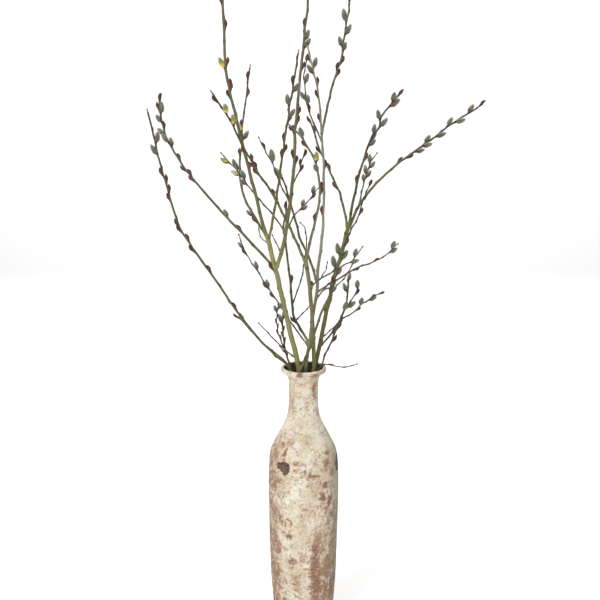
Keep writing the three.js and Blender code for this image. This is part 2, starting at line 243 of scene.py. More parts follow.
def filled(organs, usual):
    """Every organ as a whole row: the values that it leaves out are the usual ones."""
    return [(*organ, *usual[len(organ) - 2:]) for organ in organs]


def shoot(thick, bark, route, catkins=(), young=(), buds=()):
    """One shoot of a cut stem.

    thick holds its diameter at the start and the tip, bark its colour there, and route the points
    it passes through. catkins are pieces of their own; young ones and buds belong to the stem.
    Each organ is (how far back from the tip, the side it faces, size), and a catkin's kind comes
    last: side 0 is +X and 90 the back. The usual size is 1 and the usual kind is grey.
    """
    return {
        "route": route, "thick": thick, "bark": bark, "buds": filled(buds, (1,)),
        "catkins": filled(catkins, (1, "grey")), "young": filled(young, (1, "grey")),
    }


# The first shoot of a stem runs from its foot in the vase, and later ones start inside earlier ones.
STEMS = {
    "stem_left_outer": [
        shoot((5.6, 1.6), ("olive", "brown"), [
            (20, -36, 14), (9, -16, 456), (-17, -11, 520), (-31, -7, 553), (-57, -7, 577),
            (-105, -20, 634), (-186, -45, 762), (-233, -58, 840), (-260, -72, 937),
            (-274, -82, 1002), (-286, -92, 1067),
        ], catkins=[(60, 20), (82, 160)], buds=[
            (122, 200), (138, 30), (157, 340), (174, 150), (226, 170), (238, 190), (261, 0),
            (284, 200), (336, 350), (430, 60),
        ]),
    ],
    "twig_left": [
        shoot((2.8, 1.4), ("olive", "brown"), [
            (-18, 26, 210), (-13, 13, 456), (-17, 10, 520), (-35, 11, 556), (-84, 18, 596),
            (-133, 24, 649),
        ], young=[(16, 30, 0.9)], buds=[(4, 200, 0.9)]),
    ],
    "stem_left_inner": [
        shoot((5.6, 1.8), ("olive", "brown"), [
            (-34, 6, 14), (-16, 2, 456), (-19, 4, 520), (-26, 6, 545), (-36, 15, 577),
            (-42, 30, 622), (-41, 40, 652),
        ], young=[(20, 190, 0.8), (10, 20, 0.8)], buds=[
            (34, 10, 0.5), (45, 190, 0.5), (57, 20, 0.5), (70, 180, 0.5), (84, 0, 0.5),
        ]),
        shoot((2.4, 1.4), ("brown", "brown"), [
            (-37, 15, 580), (-48, 10, 608), (-53, 0, 646), (-50, -12, 680),
        ], young=[(16, 170, 0.7), (9, 20, 0.7)], buds=[
            (28, 10, 0.5), (39, 190, 0.5), (51, 20, 0.5), (64, 180, 0.5), (78, 0, 0.5),
        ]),
        shoot((2.2, 1.6), ("brown", "brown"), [
            (-36, 14, 574), (-46, 4, 589),
        ]),
    ],
    "stem_thick": [
        shoot((12, 7), ("pale", "pale"), [
            (-14, -8, 14), (-5, -3, 456), (-9, -3, 520), (-10, -4, 551), (-20, -6, 596),
            (-36, -8, 665), (-49, -8, 727), (-63, -6, 783), (-70, -4, 816),
        ], buds=[(66, 190, 1.2)]),
        shoot((2.2, 1.2), ("brown", "dark"), [
            (-19, -6, 571), (-36, -16, 589), (-64, -35, 623), (-85, -50, 651),
        ]),
        shoot((4.6, 1.8), ("green", "brown"), [
            (-55, -8, 752), (-95, 10, 792), (-145, 40, 838), (-196, 75, 888), (-240, 106, 936),
            (-273, 130, 986), (-290, 150, 1046), (-287, 155, 1073),
        ], catkins=[
            (36, 15, 1.15), (53, 140), (80, 170, 0.95), (98, 250), (108, 10, 0.9, "red"),
            (298, 20, 0.85),
        ], buds=[
            (9, 190), (26, 180), (66, 30), (140, 10), (165, 160), (180, 0), (194, 200), (338, 20),
        ]),
        shoot((6.8, 2.6), ("olive", "taupe"), [
            (-54, -8, 750), (-43, 0, 784), (-29, 20, 857), (-23, 30, 903), (-19, 40, 943),
            (-16, 60, 1015), (-10, 75, 1085), (-1, 95, 1172), (7, 110, 1243), (11, 118, 1288),
        ], catkins=[(102, 30, 1, "green"), (118, 350)], buds=[
            (76, 200), (160, 10), (248, 15), (265, 30), (284, 190), (332, 200), (343, 20),
            (20, 160),
        ]),
        shoot((2.6, 1.4), ("khaki", "brown"), [
            (-36, 10, 822), (-60, 16, 854), (-93, 16, 894), (-123, 10, 934), (-156, -10, 977),
        ], young=[
            (24, 170, 0.9, "yellow"), (56, 190, 0.9, "cream"), (40, 10, 0.9), (46, 350, 0.75),
            (70, 20, 0.9), (80, 180, 0.8),
        ]),
        shoot((2.6, 1.4), ("khaki", "dark"), [
            (-32, 12, 828), (-15, 25, 855), (3, 40, 870), (27, 60, 898),
        ], young=[(12, 170, 0.9), (55, 20, 0.8), (48, 190, 0.8)], buds=[(22, 10)]),
        shoot((2.4, 1.3), ("brown", "dark"), [
            (-22, 32, 911), (-9, 25, 937), (-3, 15, 962), (2, 8, 981),
        ], buds=[(44, 10), (32, 190), (11, 20)]),
        shoot((2.2, 1.4), ("khaki", "brown"), [
            (-44, 0, 782), (-60, 25, 810),
        ]),
        shoot((6, 2.6), ("olive", "taupe"), [
            (-68, -5, 806), (-79, -14, 842), (-91, -40, 901), (-110, -80, 990), (-123, -105, 1056),
            (-135, -126, 1112), (-140, -142, 1163), (-141, -155, 1219), (-142, -170, 1288),
        ], catkins=[(142, 180, 1, "yellow")], buds=[
            (136, 0), (178, 10), (184, 340), (198, 190), (250, 160), (70, 30), (25, 200),
        ]),
        shoot((4.2, 1.5), ("olive", "brown"), [
            (-68, -4, 806), (-60, -12, 850), (-54, -20, 884), (-43, -34, 958), (-33, -50, 1028),
            (-21, -62, 1103), (-10, -72, 1173),
        ], catkins=[(74, 10), (100, 190), (122, 350, 0.9)], buds=[
            (58, 180), (130, 30), (168, 160), (190, 20), (200, 200),
        ]),
        shoot((4, 1.5), ("khaki", "brown"), [
            (-70, -4, 812), (-92, 15, 846), (-117, 45, 885), (-127, 80, 935), (-123, 112, 981),
            (-122, 135, 1022), (-108, 185, 1128),
        ], catkins=[(154, 10), (138, 200, 0.9, "yellow")], young=[(328, 190, 0.8)], buds=[
            (126, 180), (188, 160), (343, 180), (60, 30), (25, 200),
        ]),
        shoot((2, 1.2), ("khaki", "dark"), [
            (-67, -5, 801), (-83, 12, 810), (-88, 30, 830),
        ]),
        shoot((5, 2.2), ("yellow", "khaki"), [
            (-8, -5, 543), (2, -13, 566), (14, -22, 600), (23, -26, 632), (34, -28, 668),
            (52, -28, 706), (56, -27, 731),
        ], young=[(20, 20, 0.7)], buds=[(2, 90), (8, 350, 0.9), (22, 200, 0.9)]),
    ],
    "stem_centre": [
        shoot((9.2, 1.6), ("pale", "silver"), [
            (0, -2, 14), (2, 8, 456), (3, 11, 520), (5, 11, 547), (14, 15, 611), (19, 20, 654),
            (27, 25, 701), (29, 30, 745), (38, 41, 820), (40, 52, 898), (39, 60, 956),
            (35, 68, 1014), (27, 75, 1094), (13, 80, 1153), (7, 80, 1178),
        ], catkins=[(46, 10), (56, 190, 0.95)], buds=[
            (32, 170), (78, 20), (102, 200), (148, 170), (240, 10), (330, 200),
        ]),
        shoot((4, 1.5), ("khaki", "taupe"), [
            (36, 67, 1006), (42, 67, 1039), (57, 58, 1104), (72, 50, 1154), (76, 46, 1185),
            (84, 39, 1236), (91, 32, 1285),
        ], catkins=[(62, 170, 1.15), (86, 0), (110, 190, 0.95)], young=[(118, 20, 0.8)], buds=[
            (142, 350), (156, 190), (168, 20), (22, 200),
        ]),
        shoot((2.8, 1.4), ("khaki", "brown"), [
            (37, 65, 988), (21, 55, 1027), (8, 45, 1057), (2, 35, 1104), (0, 30, 1123),
            (6, 25, 1154),
        ], catkins=[(47, 20, 0.95), (80, 190, 0.9), (90, 20, 0.9)], buds=[(104, 10), (4, 90)]),
        shoot((4.2, 1.6), ("khaki", "dark"), [
            (27, 26, 716), (9, 45, 768), (-6, 60, 795), (-15, 75, 829), (-26, 95, 864),
            (-43, 125, 914),
        ], catkins=[(4, 190, 1.35, "green")]),
        shoot((2.6, 1.4), ("khaki", "brown"), [
            (-25, 93, 861), (-47, 88, 904), (-60, 88, 940), (-82, 90, 980), (-88, 92, 994),
        ], catkins=[(54, 20, 1.3, "green")], buds=[(22, 20)]),
        shoot((4.6, 1.6), ("brown", "khaki"), [
            (12, 13, 592), (-9, 23, 628), (-20, 29, 647), (-23, 36, 672), (-26, 45, 707),
            (-30, 52, 740), (-37, 65, 799), (-40, 72, 822), (-32, 80, 857),
        ], buds=[(3, 180, 1.2), (150, 0), (230, 190)]),
        shoot((2.2, 1.3), ("brown", "dark"), [
            (-22, 36, 670), (-8, 50, 706), (1, 70, 742), (5, 85, 770), (3, 100, 812),
            (-5, 105, 820),
        ]),
        shoot((2, 1.2), ("brown", "dark"), [
            (-16, 26, 638), (-2, 12, 656), (13, 3, 677),
        ]),
        shoot((2.8, 1.3), ("khaki", "brown"), [
            (10, 13, 587), (-9, 16, 614), (-27, 17, 640), (-55, 24, 684), (-71, 28, 707),
            (-112, 45, 768), (-128, 55, 805),
        ], young=[(76, 20, 0.85), (24, 190, 0.7), (118, 20, 0.8)], buds=[
            (38, 190), (118, 190), (140, 190, 0.9),
        ]),
        shoot((3.2, 1.4), ("khaki", "brown"), [
            (26, 24, 696), (50, 15, 716), (74, 5, 732), (100, -10, 752), (131, -25, 768),
            (155, -40, 784), (178, -55, 810),
        ], young=[(12, 185, 0.9, "green"), (22, 350, 0.8)], buds=[(60, 180, 0.8), (110, 350, 0.8)]),
        shoot((2.4, 1.3), ("khaki", "brown"), [
            (25, 24, 684), (43, 38, 700), (65, 58, 701), (84, 78, 715), (101, 98, 740),
        ], buds=[(3, 90, 0.8)]),
    ],
    "stem_front": [
        shoot((8.2, 6), ("green", "bright"), [
            (24, -20, 14), (11, -9, 456), (15, -9, 520), (20, -8, 545), (19, -8, 610),
            (15, -9, 680), (9, -10, 736), (3, -10, 774),
        ], buds=[(60, 0)]),
        shoot((4.4, 1.5), ("olive", "dark"), [
            (4, -9, 764), (-13, -18, 805), (-32, -30, 849), (-64, -58, 916), (-84, -75, 949),
            (-113, -104, 1007), (-137, -130, 1060), (-164, -155, 1107),
        ], catkins=[(78, 10, 1, "yellow"), (49, 340, 1, "yellow")], buds=[
            (192, 180), (180, 20), (175, 200), (162, 10), (142, 180), (20, 200), (250, 0),
        ]),
        shoot((4.8, 1.5), ("bright", "khaki"), [
            (4, -10, 766), (13, -25, 813), (25, -50, 866), (29, -64, 895), (30, -80, 929),
            (22, -98, 970), (8, -114, 1002), (-11, -130, 1032), (-27, -142, 1048),
        ], catkins=[(114, 260), (97, 0, 1, "yellow"), (39, 20)], buds=[
            (167, 20), (155, 350), (58, 190), (18, 180), (230, 180),
        ]),
        shoot((2.6, 1.4), ("khaki", "brown"), [
            (12, -10, 712), (28, -16, 731), (57, -26, 750), (80, -36, 767), (93, -42, 775),
            (111, -55, 804),
        ], young=[(24, 180, 0.9, "red"), (40, 350, 0.8, "green")], buds=[(80, 180, 0.8)]),
        shoot((1.6, 1), ("dark", "dark"), [
            (34, -18, 735), (38, -20, 745), (44, -21, 753), (46, -20, 765),
        ]),
    ],
    "stem_right": [
        shoot((9, 6), ("green", "olive"), [
            (30, 20, 14), (13, 9, 456), (15, 10, 520), (22, 10, 545), (31, 12, 585), (44, 24, 646),
            (51, 30, 675), (57, 36, 709), (67, 44, 742), (75, 50, 765), (81, 56, 790),
            (90, 64, 825),
        ], catkins=[(88, 180, 1.15), (60, 190, 1.1, "green"), (68, 10, 1, "green")], young=[
            (100, 20, 0.8),
        ], buds=[(38, 0), (175, 180)]),
        shoot((4, 1.5), ("khaki", "khaki"), [
            (88, 61, 817), (82, 72, 848), (73, 85, 884), (61, 95, 911), (41, 110, 951),
            (25, 125, 989), (13, 138, 1028),
        ], buds=[(28, 20), (70, 190), (110, 0), (150, 180), (6, 160)]),
        shoot((4.8, 1.5), ("green", "dark"), [
            (90, 63, 817), (94, 62, 850), (102, 55, 893), (111, 48, 936), (129, 38, 996),
            (146, 32, 1024), (150, 28, 1044), (184, 12, 1090),
        ], catkins=[(20, 200), (32, 10, 1.1, "red"), (64, 190, 0.95), (78, 20), (112, 60, 0.95)], young=[
            (96, 180, 0.9), (122, 350, 0.8),
        ], buds=[(152, 10), (4, 90), (200, 190)]),
        shoot((4.8, 1.5), ("olive", "dark"), [
            (90, 64, 817), (105, 70, 852), (121, 80, 877), (153, 95, 911), (206, 120, 953),
            (256, 140, 985), (311, 160, 1023), (337, 170, 1036), (367, 182, 1054),
        ], catkins=[
            (36, 180), (72, 350), (90, 190, 0.95), (122, 340), (148, 180, 0.95), (158, 350, 0.95),
        ], young=[(176, 10, 0.9)], buds=[(198, 350), (218, 180), (6, 200)]),
        shoot((3, 1.4), ("brown", "dark"), [
            (75, 50, 762), (90, 35, 813), (105, 20, 847), (117, 5, 890), (128, -10, 919),
        ], buds=[(70, 10), (4, 90)]),
        shoot((2.6, 1.4), ("khaki", "dark"), [
            (109, 72, 856), (117, 85, 890), (125, 100, 916), (136, 115, 946), (146, 122, 959),
        ], catkins=[(22, 170, 0.9), (46, 190, 0.9)], young=[
            (32, 10, 0.85), (52, 0, 0.8), (62, 180, 0.75),
        ]),
        shoot((3.4, 1.5), ("brown", "brown"), [
            (33, 14, 588), (53, 0, 615), (68, -15, 642), (78, -28, 670), (90, -38, 691),
            (107, -55, 729),
        ], catkins=[(64, 190, 1, "green"), (56, 10, 0.95)], young=[(5, 180, 0.9)], buds=[
            (20, 350), (100, 20, 0.8),
        ]),
        shoot((2.6, 1.4), ("khaki", "brown"), [
            (72, -20, 652), (96, -40, 672), (111, -55, 691), (127, -70, 707), (145, -85, 723),
        ], young=[(54, 170, 0.9), (32, 10, 0.8)], buds=[
            (72, 350, 0.8), (20, 190, 0.8), (2, 0, 0.8),
        ]),
        shoot((2, 1.2), ("brown", "dark"), [
            (38, 17, 606), (59, 32, 620), (70, 42, 631),
        ]),
    ],
    "stem_right_thin": [
        shoot((4.4, 1.5), ("khaki", "brown"), [
            (12, 1, 14), (5, 0, 456), (10, 0, 520), (22, 0, 538), (34, 1, 550), (43, 8, 572),
            (62, 20, 610), (70, 26, 631), (83, 35, 660), (90, 48, 704), (87, 52, 717),
        ], young=[(25, 180, 0.9), (3, 10, 0.8)], buds=[
            (130, 0, 1.1), (115, 180, 1.1), (102, 10, 1.1),
        ]),
    ],
    "twig_on_lip": [
        shoot((2.4, 1.3), ("dark", "brown"), [
            (20, 4, 430), (20, 5, 500), (21, 6, 525), (28, 8, 544), (37, 9, 552), (46, 9, 552),
            (60, 8, 549), (83, 6, 547), (104, 4, 553),
        ], buds=[(52, 0, 0.5), (24, 180, 0.5)]),
    ],
}


# ---- working out shapes ----

def evenly(points, step):
    """The same line with points spaced as near to step as its length allows."""
    lengths = np.linalg.norm(np.diff(points, axis=0), axis=1)
    along = np.concatenate([[0], np.cumsum(lengths)])
    wanted = np.linspace(0, along[-1], max(2, round(along[-1] / step)) + 1)
    return np.column_stack([np.interp(wanted, along, column) for column in points.T])


def bent(start, end, leave, arrive, t):
    """The smooth stretch from start to end that leaves and arrives in the given directions."""
    bend = 3 * (end - start) - 2 * leave - arrive
    return start + leave * t + bend * t ** 2 + (2 * (start - end) + leave + arrive) * t ** 3


def smooth_outline(points, step):
    """A smooth line through (radius, height) points, in metres."""
    given = np.array(points, float) * MM
    p = np.vstack([given[:1], given, given[-1:]])
    t = np.linspace(0, 1, ROUTE_STEPS, endpoint=False)[:, None]
    parts = []
    for a, b, c, d in zip(p, p[1:], p[2:], p[3:]):
        parts.append(bent(b, c, (c - a) / 2, (d - b) / 2, t))
    return evenly(np.vstack([*parts, given[-1:]]), step * MM)


def smooth_route(points, step):
    """A smooth line through 3-D points in metres, its bends eased by the square root of spacing."""
    given = np.array(points, float) * MM
    p = np.vstack([2 * given[0] - given[1], given, 2 * given[-1] - given[-2]])
    t = np.linspace(0, 1, ROUTE_STEPS, endpoint=False)[:, None]
    parts = []
    for a, b, c, d in zip(p, p[1:], p[2:], p[3:]):
        before, within, after = (math.sqrt(np.linalg.norm(v)) for v in (b - a, c - b, d - c))
        middle = (c - b) / within
        leave = ((b - a) / before - (c - a) / (before + within) + middle) * within
        arrive = (middle - (d - b) / (within + after) + (d - c) / after) * within
        parts.append(bent(b, c, leave, arrive, t))
    return evenly(np.vstack([*parts, given[-1:]]), step * MM)


def unit(vectors):
    """The same directions, each of length 1."""
    lengths = np.linalg.norm(vectors, axis=-1, keepdims=True)
    return vectors / np.maximum(lengths, 1e-12)


def rise(values, low, high):
    """0 below low, 1 above high and smooth between them."""
    share = np.clip((values - low) / (high - low), 0, 1)
    return share * share * (3 - 2 * share)


def hill(distance, reach):
    """1 at no distance, falling smoothly to nothing a little past reach."""
    return np.exp(-(distance / reach) ** 2)


def rough(points, scale, seed=0):
    """Smooth noise from -1 to 1 at each point; scale is how many swings it makes in a metre."""
    shift = Vector((seed * 3.7, seed * 1.9, seed * 5.3))
    return np.array([noise.noise(Vector(p) * scale + shift) for p in points])


def tube_faces(rings, sides):
    """The quads of a tube whose points run round one ring after another."""
    ring, side = np.meshgrid(np.arange(rings - 1), np.arange(sides), indexing="ij")
    near = ring * sides + side
    next_side = ring * sides + (side + 1) % sides
    quads = np.stack([near, next_side, next_side + sides, near + sides], axis=-1)
    return quads.reshape(-1, 4).tolist()


def fan_faces(centre, first, sides, upwards):
    """Triangles from a ring's points to the point that closes it."""
    turn = [(first + s, first + (s + 1) % sides) for s in range(sides)]
    return [[a, b, centre] if upwards else [b, a, centre] for a, b in turn]


def closed_tube(grid, start, end):
    """Points and faces of a tube of rings, closed at each end by a point."""
    rings, sides = grid.shape[:2]
    points = np.vstack([grid.reshape(-1, 3), [start], [end]])
    faces = tube_faces(rings, sides)
    faces += fan_faces(rings * sides, 0, sides, False)
    faces += fan_faces(rings * sides + 1, (rings - 1) * sides, sides, True)
    return points, faces


def capped(values):
    """A value for each point of a closed tube: its two end points take the nearest ring's."""
    return np.concatenate([values, values[:1], values[-1:]])


class Shape:
    """A mesh in the making: its points and faces, and what its materials read at each point."""

    def __init__(self):
        self.points = []
        self.faces = []
        self.face_slots = []
        self.fields = {}
        self.count = 0

    def add(self, points, faces, slot=0, **fields):
        """Adds a part. A field is one value for all its points or one for each; 0 if not given."""
        self.points.append(points)
        self.faces += [[corner + self.count for corner in face] for face in faces]
        self.face_slots += [slot] * len(faces)
        for name, value in fields.items():
            value = np.asarray(value, float)
            width = value.shape[-1:] if value.ndim and value.shape[-1] == 3 else ()
            filled = np.broadcast_to(value, (len(points), *width))
            self.fields.setdefault(name, []).append((self.count, filled))
        self.count += len(points)

    def build(self, name, materials):
        mesh = bpy.data.meshes.new(name)
        mesh.from_pydata(np.vstack(self.points).tolist(), [], self.faces)
        mesh.polygons.foreach_set("material_index", self.face_slots)
        mesh.polygons.foreach_set("use_smooth", [True] * len(self.faces))
        for field, parts in self.fields.items():
            values = np.zeros((self.count, *parts[0][1].shape[1:]))
            for start, filled in parts:
                values[start:start + len(filled)] = filled
            kind = "FLOAT_VECTOR" if values.ndim == 2 else "FLOAT"
            attribute = mesh.attributes.new(field, kind, "POINT")
            attribute.data.foreach_set("vector" if values.ndim == 2 else "value", values.ravel())
        for material in materials:
            mesh.materials.append(material)
        mesh.update()
        piece = bpy.data.objects.new(name, mesh)
        bpy.context.scene.collection.objects.link(piece)
        return piece


def hand_over(piece, slot, *nodes):
    """Rides a finished piece on the one body and hides the CAD nodes that it stands for; slot is not
    used.
    """
    if nodes:
        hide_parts(*nodes)
    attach(piece, BODY)
    return piece


# ---- writing shaders ----

class Wire:
    """One output in a shader, which takes part in Python sums."""

    def __init__(self, finish, socket):
        self.finish = finish
        self.socket = socket

    def sum(self, operation, *values):
        sockets = dict(enumerate(values))
        return self.finish.node("ShaderNodeMath", {"operation": operation}, sockets)

    def __add__(self, other):
        return self.sum("ADD", self, other)

    def __radd__(self, other):
        return self.sum("ADD", other, self)

    def __sub__(self, other):
        return self.sum("SUBTRACT", self, other)

    def __rsub__(self, other):
        return self.sum("SUBTRACT", other, self)

    def __mul__(self, other):
        return self.sum("MULTIPLY", self, other)

    def __rmul__(self, other):
        return self.sum("MULTIPLY", other, self)


class Finish:
    """A material whose shader is written as expressions."""

    def __init__(self, name, **constants):
        self.material = bpy.data.materials.new(name)
        self.material.use_nodes = True
        self.tree = self.material.node_tree
        self.shader = self.tree.nodes["Principled BSDF"]
        for name, value in constants.items():
            socket = name.replace("_", " ").title().replace("Ior", "IOR")
            self.shader.inputs[socket].default_value = value

    def node(self, kind, settings, sockets, output=0):
        """Adds a node: its settings first, then the value or the wire of each socket."""
        made = self.tree.nodes.new(kind)
        for name, value in settings.items():
            setattr(made, name, value)
        for name, value in sockets.items():
            self.feed(made.inputs[name], value)
        return Wire(self, made.outputs[output])

    def feed(self, socket, value):
        if isinstance(value, Wire):
            self.tree.links.new(value.socket, socket)
        elif hasattr(value, "__len__") and len(value) == 3 and len(socket.default_value) == 4:
            socket.default_value = (*value, 1)
        else:
            socket.default_value = value

    def place(self):
        """Where a point of the surface is, in metres."""
        return self.node("ShaderNodeTexCoord", {}, {}, "Object")

    def read(self, field, output="Fac"):
        """What the mesh holds at a point: Fac for a number, Vector or Color for three."""
        settings = {"attribute_type": "GEOMETRY", "attribute_name": field}
        return self.node("ShaderNodeAttribute", settings, {}, output)

    def stretch(self, vector, factors):
        sockets = {0: vector, 1: factors}
        return self.node("ShaderNodeVectorMath", {"operation": "MULTIPLY"}, sockets)

    def speckle(self, vector, scale, detail=3.0, roughness=0.55):
        sockets = {"Vector": vector, "Scale": scale, "Detail": detail, "Roughness": roughness}
        return self.node("ShaderNodeTexNoise", {}, sockets)

    def cells(self, vector, scale):
        return self.node("ShaderNodeTexVoronoi", {}, {"Vector": vector, "Scale": scale}, "Distance")

    def rise(self, value, low, high):
        sockets = {"Value": value, "From Min": low, "From Max": high}
        return self.node("ShaderNodeMapRange", {"interpolation_type": "SMOOTHSTEP"}, sockets)

    def blend(self, factor, first, second):
        sockets = {0: factor, 6: first, 7: second}
        return self.node("ShaderNodeMix", {"data_type": "RGBA"}, sockets, 2)

    def shade(self, colour, factor):
        """A colour made lighter or darker."""
        sockets = {0: colour, "Scale": factor}
        return self.node("ShaderNodeVectorMath", {"operation": "SCALE"}, sockets)

    def finish(self, colour, roughness, height, depth, coat=None):
        """Feeds the shader. depth is how deep the height's full range cuts, in metres."""
        self.feed(self.shader.inputs["Base Color"], colour)
        self.feed(self.shader.inputs["Roughness"], roughness)
        bump = self.node("ShaderNodeBump", {}, {"Distance": depth, "Height": height})
        self.feed(self.shader.inputs["Normal"], bump)
        if coat is not None:
            self.feed(self.shader.inputs["Coat Weight"], coat)
        return self.material


def limewash(settings):
    """Cream limewash, sandy and pitted, over terracotta that shows where it has worn; painted shade
    greys the flanks and darkens the inside, and a white column of painted highlight stands right of the
    front.
    """
    f = Finish("limewash")
    place = f.place()
    drift = f.speckle(place, 16, 5)
    clouds = f.speckle(place, 52, 5)
    patches = f.speckle(place, 150, 6, 0.65)
    sand = f.speckle(place, 360, 4, 0.7)
    grit = f.speckle(place, 1300, 2)
    worn = f.read("worn")
    chalk = f.read("chalk")
    chip = f.read("chip")
    grime = f.read("grime")
    inside = f.read("inside")

    wash = f.blend(f.rise(drift, 0.38, 0.62), settings.cream, settings.sand)
    wash = f.blend(f.rise(clouds + (patches - 0.5) * 0.8, 0.47, 0.66) * 0.6, wash, settings.blush)
    # Thick white wash, which also paints the highlight column right of the front.
    thick_wash = f.rise(chalk + (patches - 0.5) * 2 + (sand - 0.5) * 1.5, 0.3, 0.7)
    wash = f.blend(thick_wash * 0.85, wash, settings.chalk)
    breaks = (patches - 0.5) * 2.6 + (sand - 0.5) * 2.2 + (clouds - 0.5) * 1.2
    edge = worn + breaks
    rubbed = f.rise(edge, 0.1, 0.5) * 0.8
    bare = f.rise(edge, 0.48, 0.85) * settings.wear
    clay = f.blend(f.rise(sand, 0.35, 0.65), settings.clay, settings.dark_clay)
    clay = f.blend(f.rise(edge, 0.95, 1.4) * 0.7, clay, settings.dark_clay)
    clay = f.blend(f.rise(clouds, 0.5, 0.66) * 0.5, clay, settings.blush_clay)
    clay = f.shade(clay, 0.74 + patches * 0.5)
    colour = f.blend(rubbed, wash, settings.blush_clay)
    colour = f.blend(bare, colour, clay)
    film = f.rise((drift - 0.5) * 0.8 + (patches - 0.5) * 1.7 + (sand - 0.5) * 1.3, 0.04, 0.34)
    colour = f.blend(film * 0.5 * (1 - chalk), colour, settings.blush_clay)
    stray = f.rise(sand + (clouds - 0.5) * 0.7, 0.58, 0.68) * (1 - chalk)
    colour = f.blend(stray * 0.6, colour, settings.clay)
    flecks = f.rise(f.speckle(place, 190, 4, 0.6), 0.57, 0.66)
    colour = f.blend(flecks * 0.7 * (1 - f.rise(worn, 0.4, 1) * 0.75), colour, settings.chalk)
    colour = f.shade(colour, 0.8 + f.rise(sand, 0.34, 0.62) * 0.28)
    specks = f.rise(grit + grime * 0.1, 0.6, 0.7)
    colour = f.blend(specks * (0.4 + grime * 0.3), colour, settings.grime)
    # Painted shade: a grey film that darkens the right side of the body and, more faintly, the far left
    # edge.
    dust_and_shade = f.rise(grime + (patches - 0.5) * 1.2 + (sand - 0.5) * 0.9, 0.1, 1.1)
    colour = f.blend(dust_and_shade * 0.45, colour, settings.grime)
    broken = f.rise(chip + (sand - 0.5) * 1.1, 0.4, 0.6)
    rim = f.rise(chip, 0.1, 0.45) * (1 - broken)
    heart = f.rise(chip + (patches - 0.5) * 1.5, 0.8, 1.05)
    chipped = f.blend(heart * f.rise(sand, 0.3, 0.55), settings.chip, settings.chip_light)
    colour = f.blend(rim * 0.8, colour, settings.dark_clay)
    colour = f.blend(broken, colour, chipped)
    # Painted shade: the whole inside takes a near-black colour for the shadow down the neck.
    colour = f.blend(inside, colour, settings.inside)

    pits = f.rise(f.cells(place, 330) + (sand - 0.5) * 0.6, 0.05, 0.42)
    height = patches * 0.5 + sand * 0.6 + grit * 0.15 + pits * 0.25 - bare * 0.35 + flecks * 0.15
    return f.finish(colour, 0.74 + sand * 0.2, height, 3 * MM)


def bark(settings):
    """Young willow bark: a thin smooth skin with fibres, pale pores and brown knots."""
    f = Finish("willow_bark", specular_ior_level=0.35)
    tint = f.read("tint", "Color")
    grain = f.read("grain", "Vector")
    knot = f.read("knot")
    cut = f.read("cut")
    blotches = f.speckle(f.stretch(grain, (1, 1, 0.35)), 170, 4)
    film = f.speckle(f.stretch(grain, (1, 1, 0.4)), 75, 3)
    fibres = f.speckle(f.stretch(grain, (1, 1, 0.06)), 1500, 3)
    bloom = f.speckle(grain, 420, 3, 0.6)
    pores = f.rise(f.speckle(f.stretch(grain, (1, 1, 0.7)), 900, 1), 0.66, 0.74)

    colour = f.shade(tint, 0.24 + fibres * 0.65 + bloom * 0.5)
    colour = f.blend(f.rise(blotches, 0.52, 0.68) * 0.38, colour, settings.russet)
    colour = f.blend(f.rise(film + (bloom - 0.5) * 0.6, 0.48, 0.66) * 0.3, colour, settings.bloom)
    colour = f.blend(f.rise(bloom, 0.5, 0.75) * 0.15, colour, settings.bloom)
    marks = f.rise(f.speckle(f.stretch(grain, (1, 1, 0.5)), 300, 3), 0.6, 0.68)
    colour = f.blend(pores * 0.6, colour, settings.pore)
    colour = f.blend(marks * 0.6, colour, settings.knot)
    colour = f.blend(f.rise(knot + (bloom - 0.5) * 0.8, 0.35, 0.95) * 0.75, colour, settings.knot)
    colour = f.blend(cut, colour, settings.pith)
    height = fibres * 0.4 + bloom * 0.3 + pores * 0.5 + knot * 0.2
    return f.finish(colour, 0.46 + bloom * 0.25, height, 0.22 * MM)


def bud_scale(settings):
    """The single waxy scale round a bud, ribbed lengthways and darker at its tip."""
    f = Finish("bud_scale", coat_roughness=0.35, specular_ior_level=0.3)
    tint = f.read("tint", "Color")
    grain = f.read("grain", "Vector")
    ribs = f.speckle(f.stretch(grain, (1, 1, 0.12)), 1600, 2)
    blush = f.speckle(grain, 330, 3)
    scuffs = f.speckle(grain, 900, 4, 0.7)
    colour = f.shade(tint, 0.7 + ribs * 0.6)
    colour = f.blend(f.rise(blush, 0.5, 0.7) * 0.5, colour, settings.bright)
    colour = f.blend(f.rise(scuffs, 0.6, 0.75) * 0.35, colour, settings.worn)
    height = ribs * 0.6 + scuffs * 0.4
    return f.finish(colour, 0.38 + scuffs * 0.2, height, 0.2 * MM, 0.05 + blush * 0.12)


def fur():
    """Silky hairs and the small flowers under them."""
    f = Finish("catkin_fur", sheen_weight=0.8, sheen_roughness=0.45, specular_ior_level=0.2)
    tint = f.read("tint", "Color")
    place = f.place()
    down = f.speckle(place, 1300, 3)
    tufts = f.speckle(place, 420, 2)
    colour = f.shade(tint, 0.72 + down * 0.35 + tufts * 0.25)
    return f.finish(colour, 0.82 + down * 0.15, down * 0.6 + tufts * 0.4, 0.3 * MM)


def floor_paint(settings):
    """Matt white studio board with a faint tooth."""
    f = Finish("studio_board")
    place = f.place()
    tooth = f.speckle(place, 240, 3)
    drift = f.speckle(place, 2, 2)
    colour = f.shade(tuple(settings.colour), 0.99 + drift * 0.02)
    return f.finish(colour, 0.8 + tooth * 0.1, tooth, 0.1 * MM)


# ---- the vase ----

def off_centre(angle, height, half_width, half_height, angles, heights, radii):
    """How far each point of the wall lies across and above a spot, in its half sizes."""
    turn = (angles - math.radians(angle) + math.pi) % (2 * math.pi) - math.pi
    return turn * radii / (half_width * MM), (heights - height * MM) / (half_height * MM)


def patch_field(patches, angles, heights, radii):
    """How strongly each point of the wall lies in soft-edged patches."""
    field = np.zeros(len(heights))
    for *spot, strength in patches:
        across, up = off_centre(*spot, angles, heights, radii)
        field = np.maximum(field, strength * np.exp(-0.5 * (across ** 2 + up ** 2) ** 1.4))
    return field


